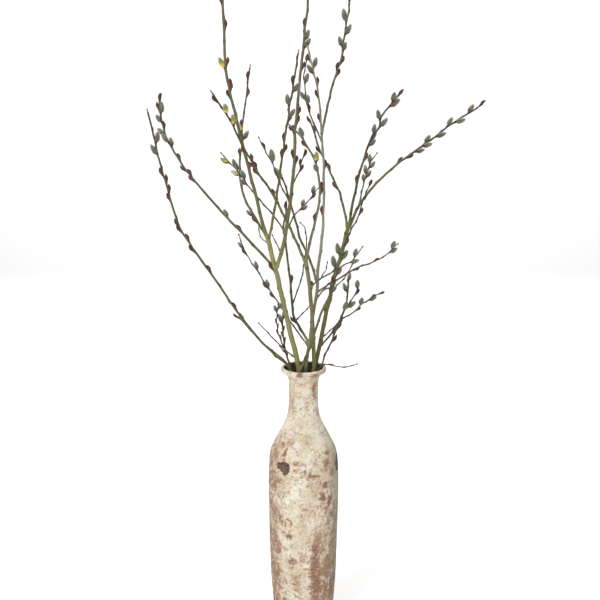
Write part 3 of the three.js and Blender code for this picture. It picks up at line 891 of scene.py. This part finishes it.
def back_patches(rng):
    """Worn patches for the far side of the vase, like those on the front."""
    patches = []
    for _ in range(BACK_PATCHES):
        angle = rng.uniform(88, 272)
        height = rng.uniform(12, 400)
        tall = rng.uniform(4, 26)
        patches.append((angle, height, rng.uniform(3, 12), tall, rng.uniform(0.45, 1)))
    return patches


def vase_profile():
    """The vase's section from under the foot, up the outside and down to the floor inside."""
    foot = np.array(FOOT_OUTLINE, float) * MM
    outside = smooth_outline(VASE_OUTLINE, OUTSIDE_STEP)
    lip = smooth_outline(LIP_OUTLINE, LIP_STEP)
    wall = smooth_outline(VASE_OUTLINE, INSIDE_STEP)[::-1]
    wall = wall[(wall[:, 1] > (FLOOR_HEIGHT + WALL) * MM) & (wall[:, 1] < lip[-1, 1] - WALL * MM)]
    wall = wall - np.array([WALL, 0]) * MM
    floor_edge = np.array([(52, FLOOR_HEIGHT + 2), (48, FLOOR_HEIGHT), (24, FLOOR_HEIGHT)]) * MM
    line = np.vstack([foot[1:], outside, lip[1:], wall, floor_edge])
    first_inside = len(foot) - 1 + len(outside) + int(np.argmax(lip[:, 1])) + 3
    return line, first_inside


def make_vase(settings):
    """The vase as one closed surface, with what its limewash reads at every point."""
    rng = random.Random(SEED)
    line, first_inside = vase_profile()
    slope = unit(np.gradient(line, axis=0))
    turns = np.arange(VASE_SIDES) * 2 * math.pi / VASE_SIDES
    angles = np.tile(turns, len(line))
    radii, heights = (np.repeat(column, VASE_SIDES) for column in line.T)
    out, up = (np.repeat(column, VASE_SIDES) for column in (slope[:, 1], -slope[:, 0]))
    around = np.column_stack([np.sin(angles), -np.cos(angles)])
    points = np.column_stack([around * radii[:, None], heights])
    normals = np.column_stack([around * out[:, None], up])
    outer = np.repeat(np.arange(len(line)) < first_inside, VASE_SIDES).astype(float)

    ragged = rough(points, 85, 1)
    crumbs = rough(points, 160, 2)
    worn = patch_field(WORN_PATCHES + back_patches(rng), angles, heights, radii)
    side = np.sin(angles)
    broad = rough(points, 26, 7)
    left = rise(-side + 0.25 * broad, 0.55, 0.85) * rise(-heights, -0.42, -0.37)
    right = rise(side + 0.25 * broad, 0.2, 0.7) * rise(-heights, -0.37, -0.2)
    low = rise(-heights, -0.3, -0.06)
    flanks = (0.5 + 0.25 * broad) * left + 0.5 * right + low * (0.2 + 0.3 * broad)
    worn = np.maximum(worn * (1 + 0.35 * ragged), flanks * (1 + 0.6 * ragged))
    # Chalk patches, with the painted highlight column among them.
    chalk = patch_field(CHALK_AND_HIGHLIGHT_PATCHES, angles, heights, radii)
    chip = np.zeros(len(points))
    for lobe in CHIPS:
        away = np.hypot(*off_centre(*lobe, angles, heights, radii))
        chip = np.maximum(chip, rise(-away - 0.3 * ragged - 0.2 * crumbs, -1.2, -0.85))
    # Real grey specks on the right of the neck and shoulder, and painted shade: a grey film down the
    # right of the body, half as strong on the neck, fainter at the far left.
    grime = rise(side, 0.5, 1) * (1 - 0.5 * rise(heights, 0.36, 0.42)) + 0.4 * rise(-side, 0.8, 1)

    wobble = rough(points, 9, 3) * settings.wobble
    lumps = rough(points, 42, 4) * settings.wobble * 0.5
    grains = rough(points, 170, 5) * 0.15 * MM + rough(points, 430, 6) * 0.1 * MM
    sunk = chip * CHIP_DEPTH * MM + rise(worn, 0.5, 0.9) * WORN_DEPTH * MM * (1 - chip)
    risen = chalk * CHALK_RISE * MM
    foot_fade = rise(heights, 0, FOOT_FADE * MM)
    lift = (wobble + lumps) * foot_fade + outer * foot_fade * (grains * settings.grit - sunk + risen)
    points = points + normals * lift[:, None]

    vase = Shape()
    grid = points.reshape(len(line), VASE_SIDES, 3)
    floor_centre = (0, 0, FLOOR_HEIGHT * MM)
    points, faces = closed_tube(grid, (0, 0, 0), floor_centre)
    # 1 on the inside wall and floor, which take the painted shade.
    inside = rise(0.5 - outer, 0, 0.5)
    vase.add(
        points, faces, worn=capped(worn), chalk=capped(chalk), chip=capped(chip),
        grime=capped(grime), inside=capped(inside),
    )
    piece = vase.build("bottle_vase", [limewash(settings)])
    return hand_over(piece, "vase_limewash", "vase_body", "vase_neck")


# ---- the stems ----

def facing(direction, side):
    """The way out of a shoot towards a side of the room, square to the shoot."""
    way = np.array([math.cos(math.radians(side)), math.sin(math.radians(side)), 0])
    return unit(way - direction * np.dot(way, direction))


class Branch:
    """A shoot laid out in metres: its centre line, girth and knots, ring by ring."""

    def __init__(self, made, older, rng):
        self.made = made
        self.points = smooth_route(made["route"], RING_STEP)
        self.step = np.linalg.norm(self.points[1] - self.points[0])
        self.length = self.step * (len(self.points) - 1)
        along = np.linspace(0, self.length, len(self.points))
        self.along = along
        start, tip = made["thick"]
        share = along / self.length
        low, high = THICK_BARK if start > THICK_SHOOT else THIN_BARK
        self.girth = ((start + (tip - start) * share) / 2 + low + (high - low) * share) * MM
        first, last = (np.array(BARK_COLOURS[name]) for name in made["bark"])
        lit = 1 if start > THICK_SHOOT else THIN_SHADE
        self.tints = (first + (last - first) * share[:, None]) * lit
        self.directions = unit(np.gradient(self.points, axis=0))
        self.knots = self.place_knots(rng)
        self.sway()
        self.directions = unit(np.gradient(self.points, axis=0))
        self.flare(older)

    def sway(self):
        """Bends the centre line out at each knot and lets it wander, as grown wood does."""
        held = rise(self.along, 0, 25 * MM)
        drift = np.column_stack([rough(self.points, DRIFT_SCALE, seed) for seed in (11, 12, 13)])
        drift = drift * DRIFT * MM
        for along, side, strength in self.knots:
            way = facing(self.directions[min(int(along / self.step), len(drift) - 1)], side)
            bend = hill(self.along - along, ZIGZAG_REACH * MM) * strength * ZIGZAG * MM
            drift = drift + way * bend[:, None]
        self.points = self.points + drift * held[:, None]

    def flare(self, older):
        """Widens and colours the start where it grows out of an older shoot, like a twig's collar."""
        if not older:
            return
        gaps = [np.linalg.norm(b.points - self.points[0], axis=1) for b in older]
        nearest = int(np.argmin([gap.min() for gap in gaps]))
        i = gaps[nearest].argmin()
        parent = older[nearest].girth[i]
        room = min(max(0.98 * parent / self.girth[0] - 1, 0.06), 0.5)
        collar = room * np.exp(-np.maximum(self.along - parent, 0) / (COLLAR_REACH * MM))
        hidden = 0.5 + 0.5 * rise(self.along, 0, parent)
        self.girth = self.girth * (1 + collar) * hidden
        own = rise(self.along, parent, parent + COLOUR_REACH * MM)[:, None]
        self.tints = older[nearest].tints[i] * (1 - own) + self.tints * own

    def place_knots(self, rng):
        """Every swelling as (distance along, side, strength): one under each organ, and blind
        ones on the bare stretches between them, each a fixed turn on from the last."""
        knots = []
        for organ in (*self.made["catkins"], *self.made["young"], *self.made["buds"]):
            knots.append((max(self.length - organ[0] * MM, 0), organ[1], 1.0))
        taken = [knot[0] for knot in knots]
        gap = THICK_KNOT_GAP if self.made["thick"][0] > THIN_LIMIT else THIN_KNOT_GAP
        side = rng.uniform(0, 360)
        spot = KNOT_SPACE * MM
        while spot < self.length - TIP_CLEAR * MM:
            clear = all(abs(spot - t) > KNOT_SPACE * MM for t in taken)
            if clear and self.spot(spot)[0][2] > VASE_HEIGHT * MM:
                knots.append((spot, side, rng.uniform(0.5, 0.9)))
            side += KNOT_TURN
            spot += rng.uniform(0.7, 1.35) * gap * MM
        return knots

    def spot(self, along):
        """The centre, direction and girth at a distance along the shoot."""
        place = min(max(along / self.step, 0), len(self.points) - 1.001)
        i, share = int(place), place - int(place)
        rows = (self.points, self.directions, self.girth)
        point, direction, girth = (row[i] + (row[i + 1] - row[i]) * share for row in rows)
        return point, unit(direction), girth

    def bark_point(self, back, side):
        """Where an organ grows: a point on the bark, the shoot's direction there, and the way out."""
        point, direction, girth = self.spot(self.length - back * MM)
        out = facing(direction, side)
        return point + out * girth, direction, out

    def frames(self):
        """Two directions across the shoot at every ring, carried along it without twist."""
        first = facing(self.directions[0], 0)
        across = [first]
        for direction in self.directions[1:]:
            last = across[-1]
            across.append(unit(last - direction * np.dot(last, direction)))
        across = np.array(across)
        return across, np.cross(self.directions, across)


def add_branch(stem, branch, settings, offset):
    """Adds a shoot's tube of bark to its stem: knots, leaf cushions, and a closed end."""
    sides = THICK_SIDES if branch.made["thick"][0] > THIN_LIMIT else THIN_SIDES
    across, over = branch.frames()
    turns = np.arange(sides) * 2 * math.pi / sides
    swell = np.zeros(len(branch.points))
    cushions = np.zeros((len(branch.points), sides))
    browned = np.zeros((len(branch.points), sides))
    for along, side, strength in branch.knots:
        near = branch.along - along
        i = min(int(along / branch.step), len(branch.points) - 1)
        out = facing(branch.directions[i], side)
        turn = math.atan2(np.dot(out, over[i]), np.dot(out, across[i]))
        swell = swell + settings.knots * strength * hill(near, KNOT_REACH * MM)
        ring = hill(near, 2.2 * MM) * KNOT_RING + hill(near, 4 * MM) * 0.2
        shelf = hill(near + 1.4 * MM, CUSHION_REACH * MM) * CUSHION_HEIGHT * strength * MM
        lobe = np.maximum(np.cos(turns - turn), 0) ** 3
        cushions = cushions + shelf[:, None] * lobe
        scar = hill(near + 0.6 * MM, 2.8 * MM)[:, None] * np.maximum(np.cos(turns - turn), 0) ** 1.5
        browned = np.maximum(browned, strength * np.minimum(ring[:, None] + scar, 1))
    ripple = rough(branch.points, 210, 8)
    girth = (branch.girth + swell) * (1 + 0.05 * ripple)
    tip_fade = rise(branch.length - branch.along, -0.4 * MM, 2.2 * MM)
    girth = girth * (0.35 + 0.65 * tip_fade)
    spread = girth[:, None] + cushions
    ring = np.cos(turns)[None, :, None] * across[:, None] + np.sin(turns)[None, :, None] * over[:, None]
    grid = branch.points[:, None] + ring * spread[..., None]
    start = branch.points[0] - branch.directions[0] * 0.4 * MM
    end = branch.points[-1] + branch.directions[-1] * girth[-1] * 0.8
    points, faces = closed_tube(grid, start, end)

    tone = 1 + 0.2 * rough(branch.points, 14, 9)
    tint = branch.tints * tone[:, None]
    lengthways = np.broadcast_to(branch.along[:, None], spread.shape) + offset
    grain = np.stack([spread * np.cos(turns), spread * np.sin(turns), lengthways], axis=-1)
    cut = (branch.along < 3 * MM) * (branch.points[:, 2] < VASE_HEIGHT * MM)
    stem.add(
        points, faces, tint=capped(np.repeat(tint, sides, axis=0)),
        grain=capped(grain.reshape(-1, 3)), knot=capped(browned.ravel()),
        cut=capped(np.repeat(cut.astype(float), sides)),
    )


def lay_out_stems():
    """Every stem's shoots as branches, made once and shared by the stems, buds and catkins."""
    rng = random.Random(SEED)
    stems = {}
    for name, shoots in STEMS.items():
        branches = []
        for made in shoots:
            branches.append(Branch(made, branches, rng))
        stems[name] = branches
    return stems


def make_stems(settings):
    material = bark(settings)
    for name, branches in lay_out_stems().items():
        stem = Shape()
        for i, branch in enumerate(branches):
            add_branch(stem, branch, settings, offset=i * 0.37)
        hand_over(stem.build(f"bark_{name}", [material]), "willow_bark", name)


# ---- buds ----

def leaned(direction, out, lean):
    """Axes of an organ that leans out from its shoot: away from the bark, across, and along."""
    along = direction * math.cos(lean) + out * math.sin(lean)
    away = out * math.cos(lean) - direction * math.sin(lean)
    return np.array([away, np.cross(along, away), along])


def add_bud(shape, point, axes, size, colours, rng):
    """A pointed bud, rounded outside, flat against the shoot, with a beak that turns inwards."""
    length, width = BUD_LENGTH * size * MM, BUD_WIDTH * size * MM
    t = np.linspace(0, 1, BUD_RINGS)
    turns = np.arange(BUD_SIDES) * 2 * math.pi / BUD_SIDES
    half = width / 2 * np.maximum(np.sin(math.pi * t ** 0.8), 0) ** 0.62
    half = np.maximum(half, width * np.interp(t, [0, 0.1, 1], [0.3, 0.1, 0.05]))
    thick = np.where(np.cos(turns) > 0, 0.95, 0.75)
    keel = 1 + 0.07 * hill(np.abs(np.sin(turns)) - 1, 0.2)
    outline = half[:, None] * keel[None]
    beak = (0.02 * np.sin(math.pi * t) - 0.06 * t ** 3) * length
    away = outline * thick * np.cos(turns) + beak[:, None]
    across = outline * np.sin(turns) * (1 - 0.2 * t[:, None])
    along = np.broadcast_to((t * length)[:, None], away.shape)
    local = np.stack([away, across, along], axis=-1)
    grid = point + local @ axes
    start, end = point, point + np.array([-0.06 * length, 0, 1.02 * length]) @ axes
    points, faces = closed_tube(grid, start, end)
    base, middle, tip = (np.array(colours[i]) for i in range(3))
    share = t[:, None]
    tint = base + (middle - base) * rise(share, 0.02, 0.3) + (tip - middle) * rise(share, 0.55, 1)
    tint = np.repeat(tint, BUD_SIDES, axis=0) * rng.uniform(0.65, 1.2)
    grain = capped(local.reshape(-1, 3)) + rng.random()
    shape.add(points, faces, tint=capped(tint), grain=grain)


def make_buds(settings):
    rng = random.Random(SEED + 1)
    material = bud_scale(settings)
    colours = (tuple(settings.base), tuple(settings.colour), tuple(settings.tip))
    for name, branches in lay_out_stems().items():
        buds = Shape()
        for branch in branches:
            made = branch.made
            for back, side, size in made["buds"]:
                point, direction, out = branch.bark_point(back, side)
                axes = leaned(direction, out, BUD_LEAN + rng.uniform(-0.05, 0.1))
                add_bud(buds, point - out * 0.3 * MM, axes, size * settings.size, colours, rng)
            taken = [organ[0] for organ in (*made["buds"], *made["catkins"], *made["young"])]
            if made["route"][-1][2] > VASE_HEIGHT and min(taken, default=math.inf) > TIP_BUD_SPACE:
                point, direction, _ = branch.spot(branch.length)
                axes = leaned(direction, facing(direction, rng.uniform(0, 360)), 0)
                start = point - direction * 0.5 * MM
                add_bud(buds, start, axes, TIP_BUD_SIZE * settings.size, colours, rng)
        if buds.count:
            hand_over(buds.build(f"buds_{name}", [material]), "willow_bark")


# ---- catkins ----

def catkin_radius(t):
    """A catkin's half width along it, as a share of its widest."""
    return np.maximum(np.sin(math.pi * t ** 0.84), 0) ** 0.55


def add_core(shape, point, axes, size, tints):
    """The body of packed flowers under the hairs, its bumps in spirals, with painted shade in the dips
    between them.
    """
    length, width = CATKIN_LENGTH * size * MM, CATKIN_WIDTH * size * MM
    t = np.linspace(0.015, 0.985, CATKIN_RINGS)[:, None]
    turns = np.arange(CATKIN_SIDES)[None] * 2 * math.pi / CATKIN_SIDES
    half = width * CORE_SHARE * catkin_radius(t)
    bumps = 1 + 0.07 * np.cos(5 * turns + 24 * t) * np.cos(3 * turns - 19 * t)
    half = half * bumps
    along = np.broadcast_to(t * length, half.shape)
    local = np.stack([half * np.cos(turns), half * np.sin(turns), along], axis=-1)
    grid = point + local @ axes
    points, faces = closed_tube(grid, point, point + axes[2] * length)
    base, tip = (np.array(tint) for tint in tints)
    mix = rise(t, 0.2, 0.65)
    tint = np.repeat(base + (tip - base) * mix, CATKIN_SIDES, axis=0)
    # Painted shade: darker in the dips between the bumps, lighter on their tops.
    tint = tint * (0.72 + 2.6 * (bumps.reshape(-1, 1) - 0.93))
    shape.add(points, faces, tint=capped(tint))


def add_hairs(shape, point, axes, size, count, reach, colours, rng):
    """Silky hairs: thin three-sided needles that stand out of the body and bend to its tip."""
    length, width = CATKIN_LENGTH * size * MM, CATKIN_WIDTH * size * MM
    order = np.arange(count)
    loose = np.random.default_rng(rng.randrange(10 ** 6))
    t = 0.05 + 0.93 * (order + 0.5) / count
    turn = order * GOLDEN_ANGLE + loose.uniform(-0.3, 0.3, count)
    half = width * CORE_SHARE * catkin_radius(t)
    around = np.column_stack([np.cos(turn), np.sin(turn), np.zeros(count)])
    upright = np.array([0, 0, 1.0])
    slope = np.gradient(half) / np.gradient(t * length)
    skin = unit(upright + around * slope[:, None])
    out = unit(around - upright * slope[:, None])
    root = around * half[:, None] * 0.9 + upright * (t * length)[:, None]
    lift = loose.uniform(0.5, 1.1, count)[:, None]
    sideways = np.cross(skin, out) * loose.uniform(-0.35, 0.35, count)[:, None]
    hair = (reach * size * MM * loose.uniform(0.7, 1.15, count) * (1 - 0.45 * rise(t, 0.6, 1)))[:, None]
    knee = root + unit(skin * (1 - lift * 0.6) + out * lift * 1.25 + sideways) * hair * 0.55
    tip = knee + unit(skin + out * lift * 0.45 + sideways) * hair * 0.5
    stalk = (out, unit(np.cross(skin, out) - out * 0.5), unit(-np.cross(skin, out) - out * 0.5))
    girth = HAIR_GIRTH * MM * size
    corners = [root + way * girth for way in stalk]
    corners += [knee + way * girth * 0.6 for way in stalk] + [tip]
    local = np.stack(corners, axis=1).reshape(-1, 3)
    faces = []
    for first in range(0, count * HAIR_POINTS, HAIR_POINTS):
        a, b, c, d, e, g, top = range(first, first + HAIR_POINTS)
        faces += [[a, b, e, d], [b, c, g, e], [c, a, d, g]]
        faces += [[d, e, top], [e, g, top], [g, d, top], [c, b, a]]
    base, low, high = (np.array(colour) for colour in colours)
    near_base = 1 - rise(t, 0.25, 0.6)[:, None]
    low = low + (base - low) * near_base
    high = high + (base - high) * near_base * 0.5
    tones = loose.uniform(0.8, 1.12, count)[:, None]
    tint = np.repeat((low + (high - low) * 0.55) * tones, HAIR_POINTS, axis=0)
    for corner in (3, 4, 5):
        tint[corner::HAIR_POINTS] = (low + (high - low) * 0.85) * tones
    tint[6::HAIR_POINTS] = high * tones
    shape.add(point + local @ axes, faces, tint=tint)


def add_husk(shape, point, axes, size, cover, colours, rng):
    """What is left of the bud's scale: a thin pointed cup round the catkin's base."""
    length, width = CATKIN_LENGTH * size * MM, CATKIN_WIDTH * size * MM
    rows, columns = HUSK_ROWS, HUSK_COLUMNS
    turns = np.linspace(-HUSK_REACH, HUSK_REACH, columns)
    turned = rng.uniform(-0.5, 0.5)
    top = cover * (0.35 + 0.65 * np.cos(turns / HUSK_REACH * math.pi / 2) ** 1.3)
    t = np.linspace(0, 1, rows)[:, None] * top[None]
    half = width * CORE_SHARE * np.maximum(catkin_radius(t), 0.22) + 0.45 * MM * size
    shells = []
    for spread in (half, half - HUSK_WALL * MM * size):
        x, y = spread * np.cos(turns + turned), spread * np.sin(turns + turned)
        shells.append(np.stack([x, y, t * length - 0.4 * MM], axis=-1))
    local = np.concatenate([shell.reshape(-1, 3) for shell in shells])
    out, back = np.arange(2 * rows * columns).reshape(2, rows, columns).tolist()
    faces = []
    for r in range(rows - 1):
        for c in range(columns - 1):
            faces.append([out[r][c], out[r][c + 1], out[r + 1][c + 1], out[r + 1][c]])
            faces.append([back[r + 1][c], back[r + 1][c + 1], back[r][c + 1], back[r][c]])
        faces.append([out[r + 1][0], back[r + 1][0], back[r][0], out[r][0]])
        faces.append([out[r][-1], back[r][-1], back[r + 1][-1], out[r + 1][-1]])
    for c in range(columns - 1):
        faces.append([out[0][c + 1], out[0][c], back[0][c], back[0][c + 1]])
        faces.append([out[-1][c], out[-1][c + 1], back[-1][c + 1], back[-1][c]])
    share = np.tile(np.repeat(np.linspace(0, 1, rows), columns), 2)[:, None]
    base, middle = (np.array(colours[i]) for i in range(2))
    tint = (base + (middle - base) * share) * rng.uniform(0.85, 1.15)
    shape.add(point + local @ axes, faces, slot=1, tint=tint, grain=local + rng.random())


def add_catkin(shape, branch, place, settings, cover, rng):
    """One catkin; cover is how far up it its bud scale reaches, where that is still on."""
    back, side, size, kind = place
    base, tip, hair, husk_chance = CATKIN_KINDS[kind]
    point, direction, out = branch.bark_point(back, side)
    lean = CATKIN_LEAN + rng.uniform(-0.12, 0.12)
    axes = leaned(direction, out, lean)
    point = point + out * 0.2 * MM
    size = size * settings.size
    add_core(shape, point, axes, size, (base, tip))
    reach = settings.hair_length / MM
    add_hairs(shape, point, axes, size, settings.hairs, reach, (base, tip, hair), rng)
    if cover == YOUNG_COVER or rng.random() < husk_chance:
        colours = (tuple(settings.husk_base), tuple(settings.husk))
        add_husk(shape, point, axes, size, cover, colours, rng)


def make_catkins(settings):
    rng = random.Random(SEED + 2)
    materials = [fur(), bud_scale(bpy.context.scene.willow_buds)]
    number = 0
    for name, branches in lay_out_stems().items():
        joined = Shape()
        for branch in branches:
            for place in branch.made["catkins"]:
                number += 1
                catkin = Shape()
                add_catkin(catkin, branch, place, settings, OPEN_COVER, rng)
                node = f"catkin_{number:02d}"
                hand_over(catkin.build(f"fur_{node}", materials), "catkin_fur", node)
            for place in branch.made["young"]:
                add_catkin(joined, branch, place, settings, YOUNG_COVER, rng)
        if joined.count:
            hand_over(joined.build(f"young_catkins_{name}", materials), "catkin_fur")


# ---- the stage ----

def soft_light(name, place, target, size, power):
    lamp = bpy.data.lights.new(name, "AREA")
    lamp.shape = "RECTANGLE"
    lamp.size, lamp.size_y = size
    lamp.energy = power
    light = bpy.data.objects.new(name, lamp)
    light.location = place
    light.rotation_euler = (Vector(target) - Vector(place)).to_track_quat("-Z", "Y").to_euler()
    bpy.context.scene.collection.objects.link(light)


def make_camera(scene):
    camera = bpy.data.objects.new("camera", bpy.data.cameras.new("camera"))
    camera.location = CAMERA_PLACE
    camera.rotation_euler = (CAMERA_PITCH, 0, 0)
    camera.data.sensor_width = SENSOR
    camera.data.lens = LENS
    camera.data.clip_end = CAMERA_REACH
    scene.collection.objects.link(camera)
    scene.camera = camera


def make_floor(settings):
    """A flat floor, and a strip of backdrop behind it that curves up from it."""
    t = np.linspace(0, math.pi / 2, BEND_POINTS)
    away = BACKDROP_FOOT + BACKDROP_BEND * np.sin(t)
    sweep = np.column_stack([away, BACKDROP_BEND * (1 - np.cos(t))])
    line = np.vstack([sweep, [BACKDROP_FOOT + BACKDROP_BEND, BACKDROP_TOP]])
    board = Shape()
    turns = [(-1, -1, 0), (1, -1, 0), (1, 1, 0), (-1, 1, 0)]
    board.add(np.array(turns, float) * FLOOR_HALF, [[0, 1, 2, 3]])
    edges = [np.column_stack([np.full(len(line), x), line]) for x in (-BACKDROP_HALF, BACKDROP_HALF)]
    count = len(line)
    board.add(np.vstack(edges), [[i + 1, i, count + i, count + i + 1] for i in range(count - 1)])
    board.build("studio_floor", [floor_paint(settings)])


def make_stage(settings):
    scene = bpy.context.scene
    make_camera(scene)
    scene.view_settings.view_transform = "Standard"
    scene.view_settings.exposure = settings.exposure

    world = bpy.data.worlds.new("studio")
    world.use_nodes = True
    sky = world.node_tree.nodes["Background"].inputs
    sky["Color"].default_value = (1, 1, 1, 1)
    sky["Strength"].default_value = settings.surround
    scene.world = world

    middle = (CAD_BOX[0] + CAD_BOX[1]) / 2
    soft_light("key_light", KEY_LIGHT[0], middle, KEY_LIGHT[1], settings.key)
    soft_light("fill_light", FILL_LIGHT[0], middle, FILL_LIGHT[1], settings.fill)
    soft_light("backdrop_light", BACKDROP_LIGHT[0], BACKDROP_AIM, BACKDROP_LIGHT[1], settings.backdrop)
    make_floor(settings)


# ---- the add-on ----

def colour_property(name, description, default):
    return bpy.props.FloatVectorProperty(
        name=name, description=description, subtype="COLOR", size=3, min=0, max=1, default=default,
    )


def power_property(name, description, default):
    return bpy.props.FloatProperty(
        name=name, description=description, subtype="POWER", min=0, default=default,
    )


class WillowStage(bpy.types.PropertyGroup):
    key: power_property("Key light", "Power of the soft light at the left", 56)
    fill: power_property("Fill light", "Power of the soft light at the front", 46)
    backdrop: power_property("Backdrop light", "Power of the light on the backdrop", 232)
    surround: bpy.props.FloatProperty(
        name="Surround", description="Strength of the even light from all round", default=0.26,
        min=0,
    )
    exposure: bpy.props.FloatProperty(
        name="Exposure", description="How much brighter or darker the picture is, in stops",
        default=-0.3, min=-3, max=3,
    )
    colour: colour_property("Floor", "Colour of the floor and backdrop", (0.92, 0.92, 0.92))


class WillowVase(bpy.types.PropertyGroup):
    cream: colour_property("Limewash", "Most of the limewash", srgb(252, 246, 226))
    sand: colour_property("Sandy wash", "Thinner, yellower limewash", srgb(228, 214, 182))
    blush: colour_property("Blush", "Limewash that the clay tints", srgb(228, 206, 186))
    # Also the white of the painted highlight column.
    chalk: colour_property("Chalk", "Thick white limewash", srgb(252, 248, 238))
    blush_clay: colour_property("Rubbed clay", "Clay under a thin film of wash", srgb(204, 164, 136))
    clay: colour_property("Clay", "Bare terracotta", srgb(174, 118, 84))
    dark_clay: colour_property("Dark clay", "Stained terracotta", srgb(122, 82, 56))
    # Also the grey of the painted shade down the flanks.
    grime: colour_property("Grime", "Grey-green specks and film", srgb(126, 118, 98))
    chip: colour_property("Chip", "Clay body where the skin has chipped off", srgb(66, 50, 41))
    chip_light: colour_property("Chip highlight", "Crushed clay in a chip", srgb(128, 104, 88))
    # Painted shade, not the clay's own colour: near-black for the shadow inside the neck.
    inside: colour_property("Inside", "Raw clay inside the vase", srgb(34, 26, 19))
    wear: bpy.props.FloatProperty(
        name="Wear", description="How bare the worn patches are", default=0.9, min=0, max=1,
        subtype="FACTOR",
    )
    wobble: bpy.props.FloatProperty(
        name="Wobble", description="How far the hand-thrown wall strays", default=0.6 * MM, min=0,
        max=3 * MM, unit="LENGTH",
    )
    grit: bpy.props.FloatProperty(
        name="Grit", description="How coarse the surface is", default=1.0, min=0, max=3,
    )


class WillowBark(bpy.types.PropertyGroup):
    russet: colour_property("Russet", "Sunned patches of bark", srgb(112, 90, 62))
    bloom: colour_property("Bloom", "The grey film on older bark", srgb(134, 134, 110))
    pore: colour_property("Pores", "Raised breathing pores", srgb(140, 128, 100))
    knot: colour_property("Knots", "Bark round the knots", srgb(42, 32, 25))
    pith: colour_property("Cut wood", "The pale cut ends in the vase", srgb(206, 190, 150))
    knots: bpy.props.FloatProperty(
        name="Knots swell", description="How far a knot stands out of the stem", default=0.5 * MM,
        min=0, max=2 * MM, unit="LENGTH",
    )


class WillowBuds(bpy.types.PropertyGroup):
    base: colour_property("Base", "The bud where it leaves the bark", srgb(70, 56, 38))
    colour: colour_property("Colour", "Most of the bud's scale", srgb(88, 51, 42))
    tip: colour_property("Tip", "The bud's beak", srgb(56, 33, 27))
    bright: colour_property("Red", "Redder parts of the scale", srgb(122, 69, 55))
    worn: colour_property("Scuffs", "Dry, scuffed scale", srgb(148, 118, 94))
    size: bpy.props.FloatProperty(
        name="Size", description="Size of every bud beside the usual", default=1, min=0.5, max=1.3,
        subtype="FACTOR",
    )


class WillowCatkins(bpy.types.PropertyGroup):
    hairs: bpy.props.IntProperty(
        name="Hairs", description="Hairs on each catkin", default=320, min=20, max=1200,
    )
    hair_length: bpy.props.FloatProperty(
        name="Hair length", description="Length of a hair", default=3.4 * MM, min=MM, max=8 * MM,
        unit="LENGTH",
    )
    husk: colour_property("Husk", "The scale left at a catkin's base", srgb(96, 62, 50))
    husk_base: colour_property("Husk base", "The husk where it leaves the bark", srgb(74, 52, 40))
    size: bpy.props.FloatProperty(
        name="Size", description="Size of every catkin beside the usual", default=1.12, min=0.5,
        max=1.3, subtype="FACTOR",
    )


class WILLOW_OT_stage(bpy.types.Operator):
    """Make the camera, lights and floor"""

    bl_idname = "willow.stage"
    bl_label = "Stage"

    def execute(self, context):
        make_stage(context.scene.willow_stage)
        return {"FINISHED"}


class WILLOW_OT_vase(bpy.types.Operator):
    """Make the limewashed bottle vase"""

    bl_idname = "willow.vase"
    bl_label = "Vase"

    def execute(self, context):
        make_vase(context.scene.willow_vase)
        return {"FINISHED"}


class WILLOW_OT_stems(bpy.types.Operator):
    """Make every cut stem with its side shoots, one piece of bark each"""

    bl_idname = "willow.stems"
    bl_label = "Stems"

    def execute(self, context):
        make_stems(context.scene.willow_bark)
        return {"FINISHED"}


class WILLOW_OT_buds(bpy.types.Operator):
    """Make the closed buds, one piece for each stem"""

    bl_idname = "willow.buds"
    bl_label = "Buds"

    def execute(self, context):
        make_buds(context.scene.willow_buds)
        return {"FINISHED"}


class WILLOW_OT_catkins(bpy.types.Operator):
    """Make the catkins: open ones each a piece, young ones joined for each stem"""

    bl_idname = "willow.catkins"
    bl_label = "Catkins"

    def execute(self, context):
        make_catkins(context.scene.willow_catkins)
        return {"FINISHED"}


STEPS = {
    "willow_stage": (WillowStage, WILLOW_OT_stage),
    "willow_vase": (WillowVase, WILLOW_OT_vase),
    "willow_bark": (WillowBark, WILLOW_OT_stems),
    "willow_buds": (WillowBuds, WILLOW_OT_buds),
    "willow_catkins": (WillowCatkins, WILLOW_OT_catkins),
}


class WILLOW_PT_panel(bpy.types.Panel):
    """Every piece's settings, each over the button that makes it"""

    bl_idname = "WILLOW_PT_panel"
    bl_label = "Willow stems"
    bl_space_type = "VIEW_3D"
    bl_region_type = "UI"
    bl_category = "Willow"

    def draw(self, context):
        for name, (group, operator) in STEPS.items():
            box = self.layout.box()
            settings = getattr(context.scene, name)
            for field in group.__annotations__:
                box.prop(settings, field)
            box.operator(operator.bl_idname)


def register():
    for name, (group, operator) in STEPS.items():
        bpy.utils.register_class(group)
        bpy.utils.register_class(operator)
        setattr(bpy.types.Scene, name, bpy.props.PointerProperty(type=group))
    bpy.utils.register_class(WILLOW_PT_panel)


def unregister():
    bpy.utils.unregister_class(WILLOW_PT_panel)
    for name, (group, operator) in reversed(STEPS.items()):
        delattr(bpy.types.Scene, name)
        bpy.utils.unregister_class(operator)
        bpy.utils.unregister_class(group)


def main():
    register()
    bpy.ops.willow.stage()
    bpy.ops.willow.vase()
    bpy.ops.willow.stems()
    bpy.ops.willow.buds()
    bpy.ops.willow.catkins()


if __name__ == "__main__":
    main()
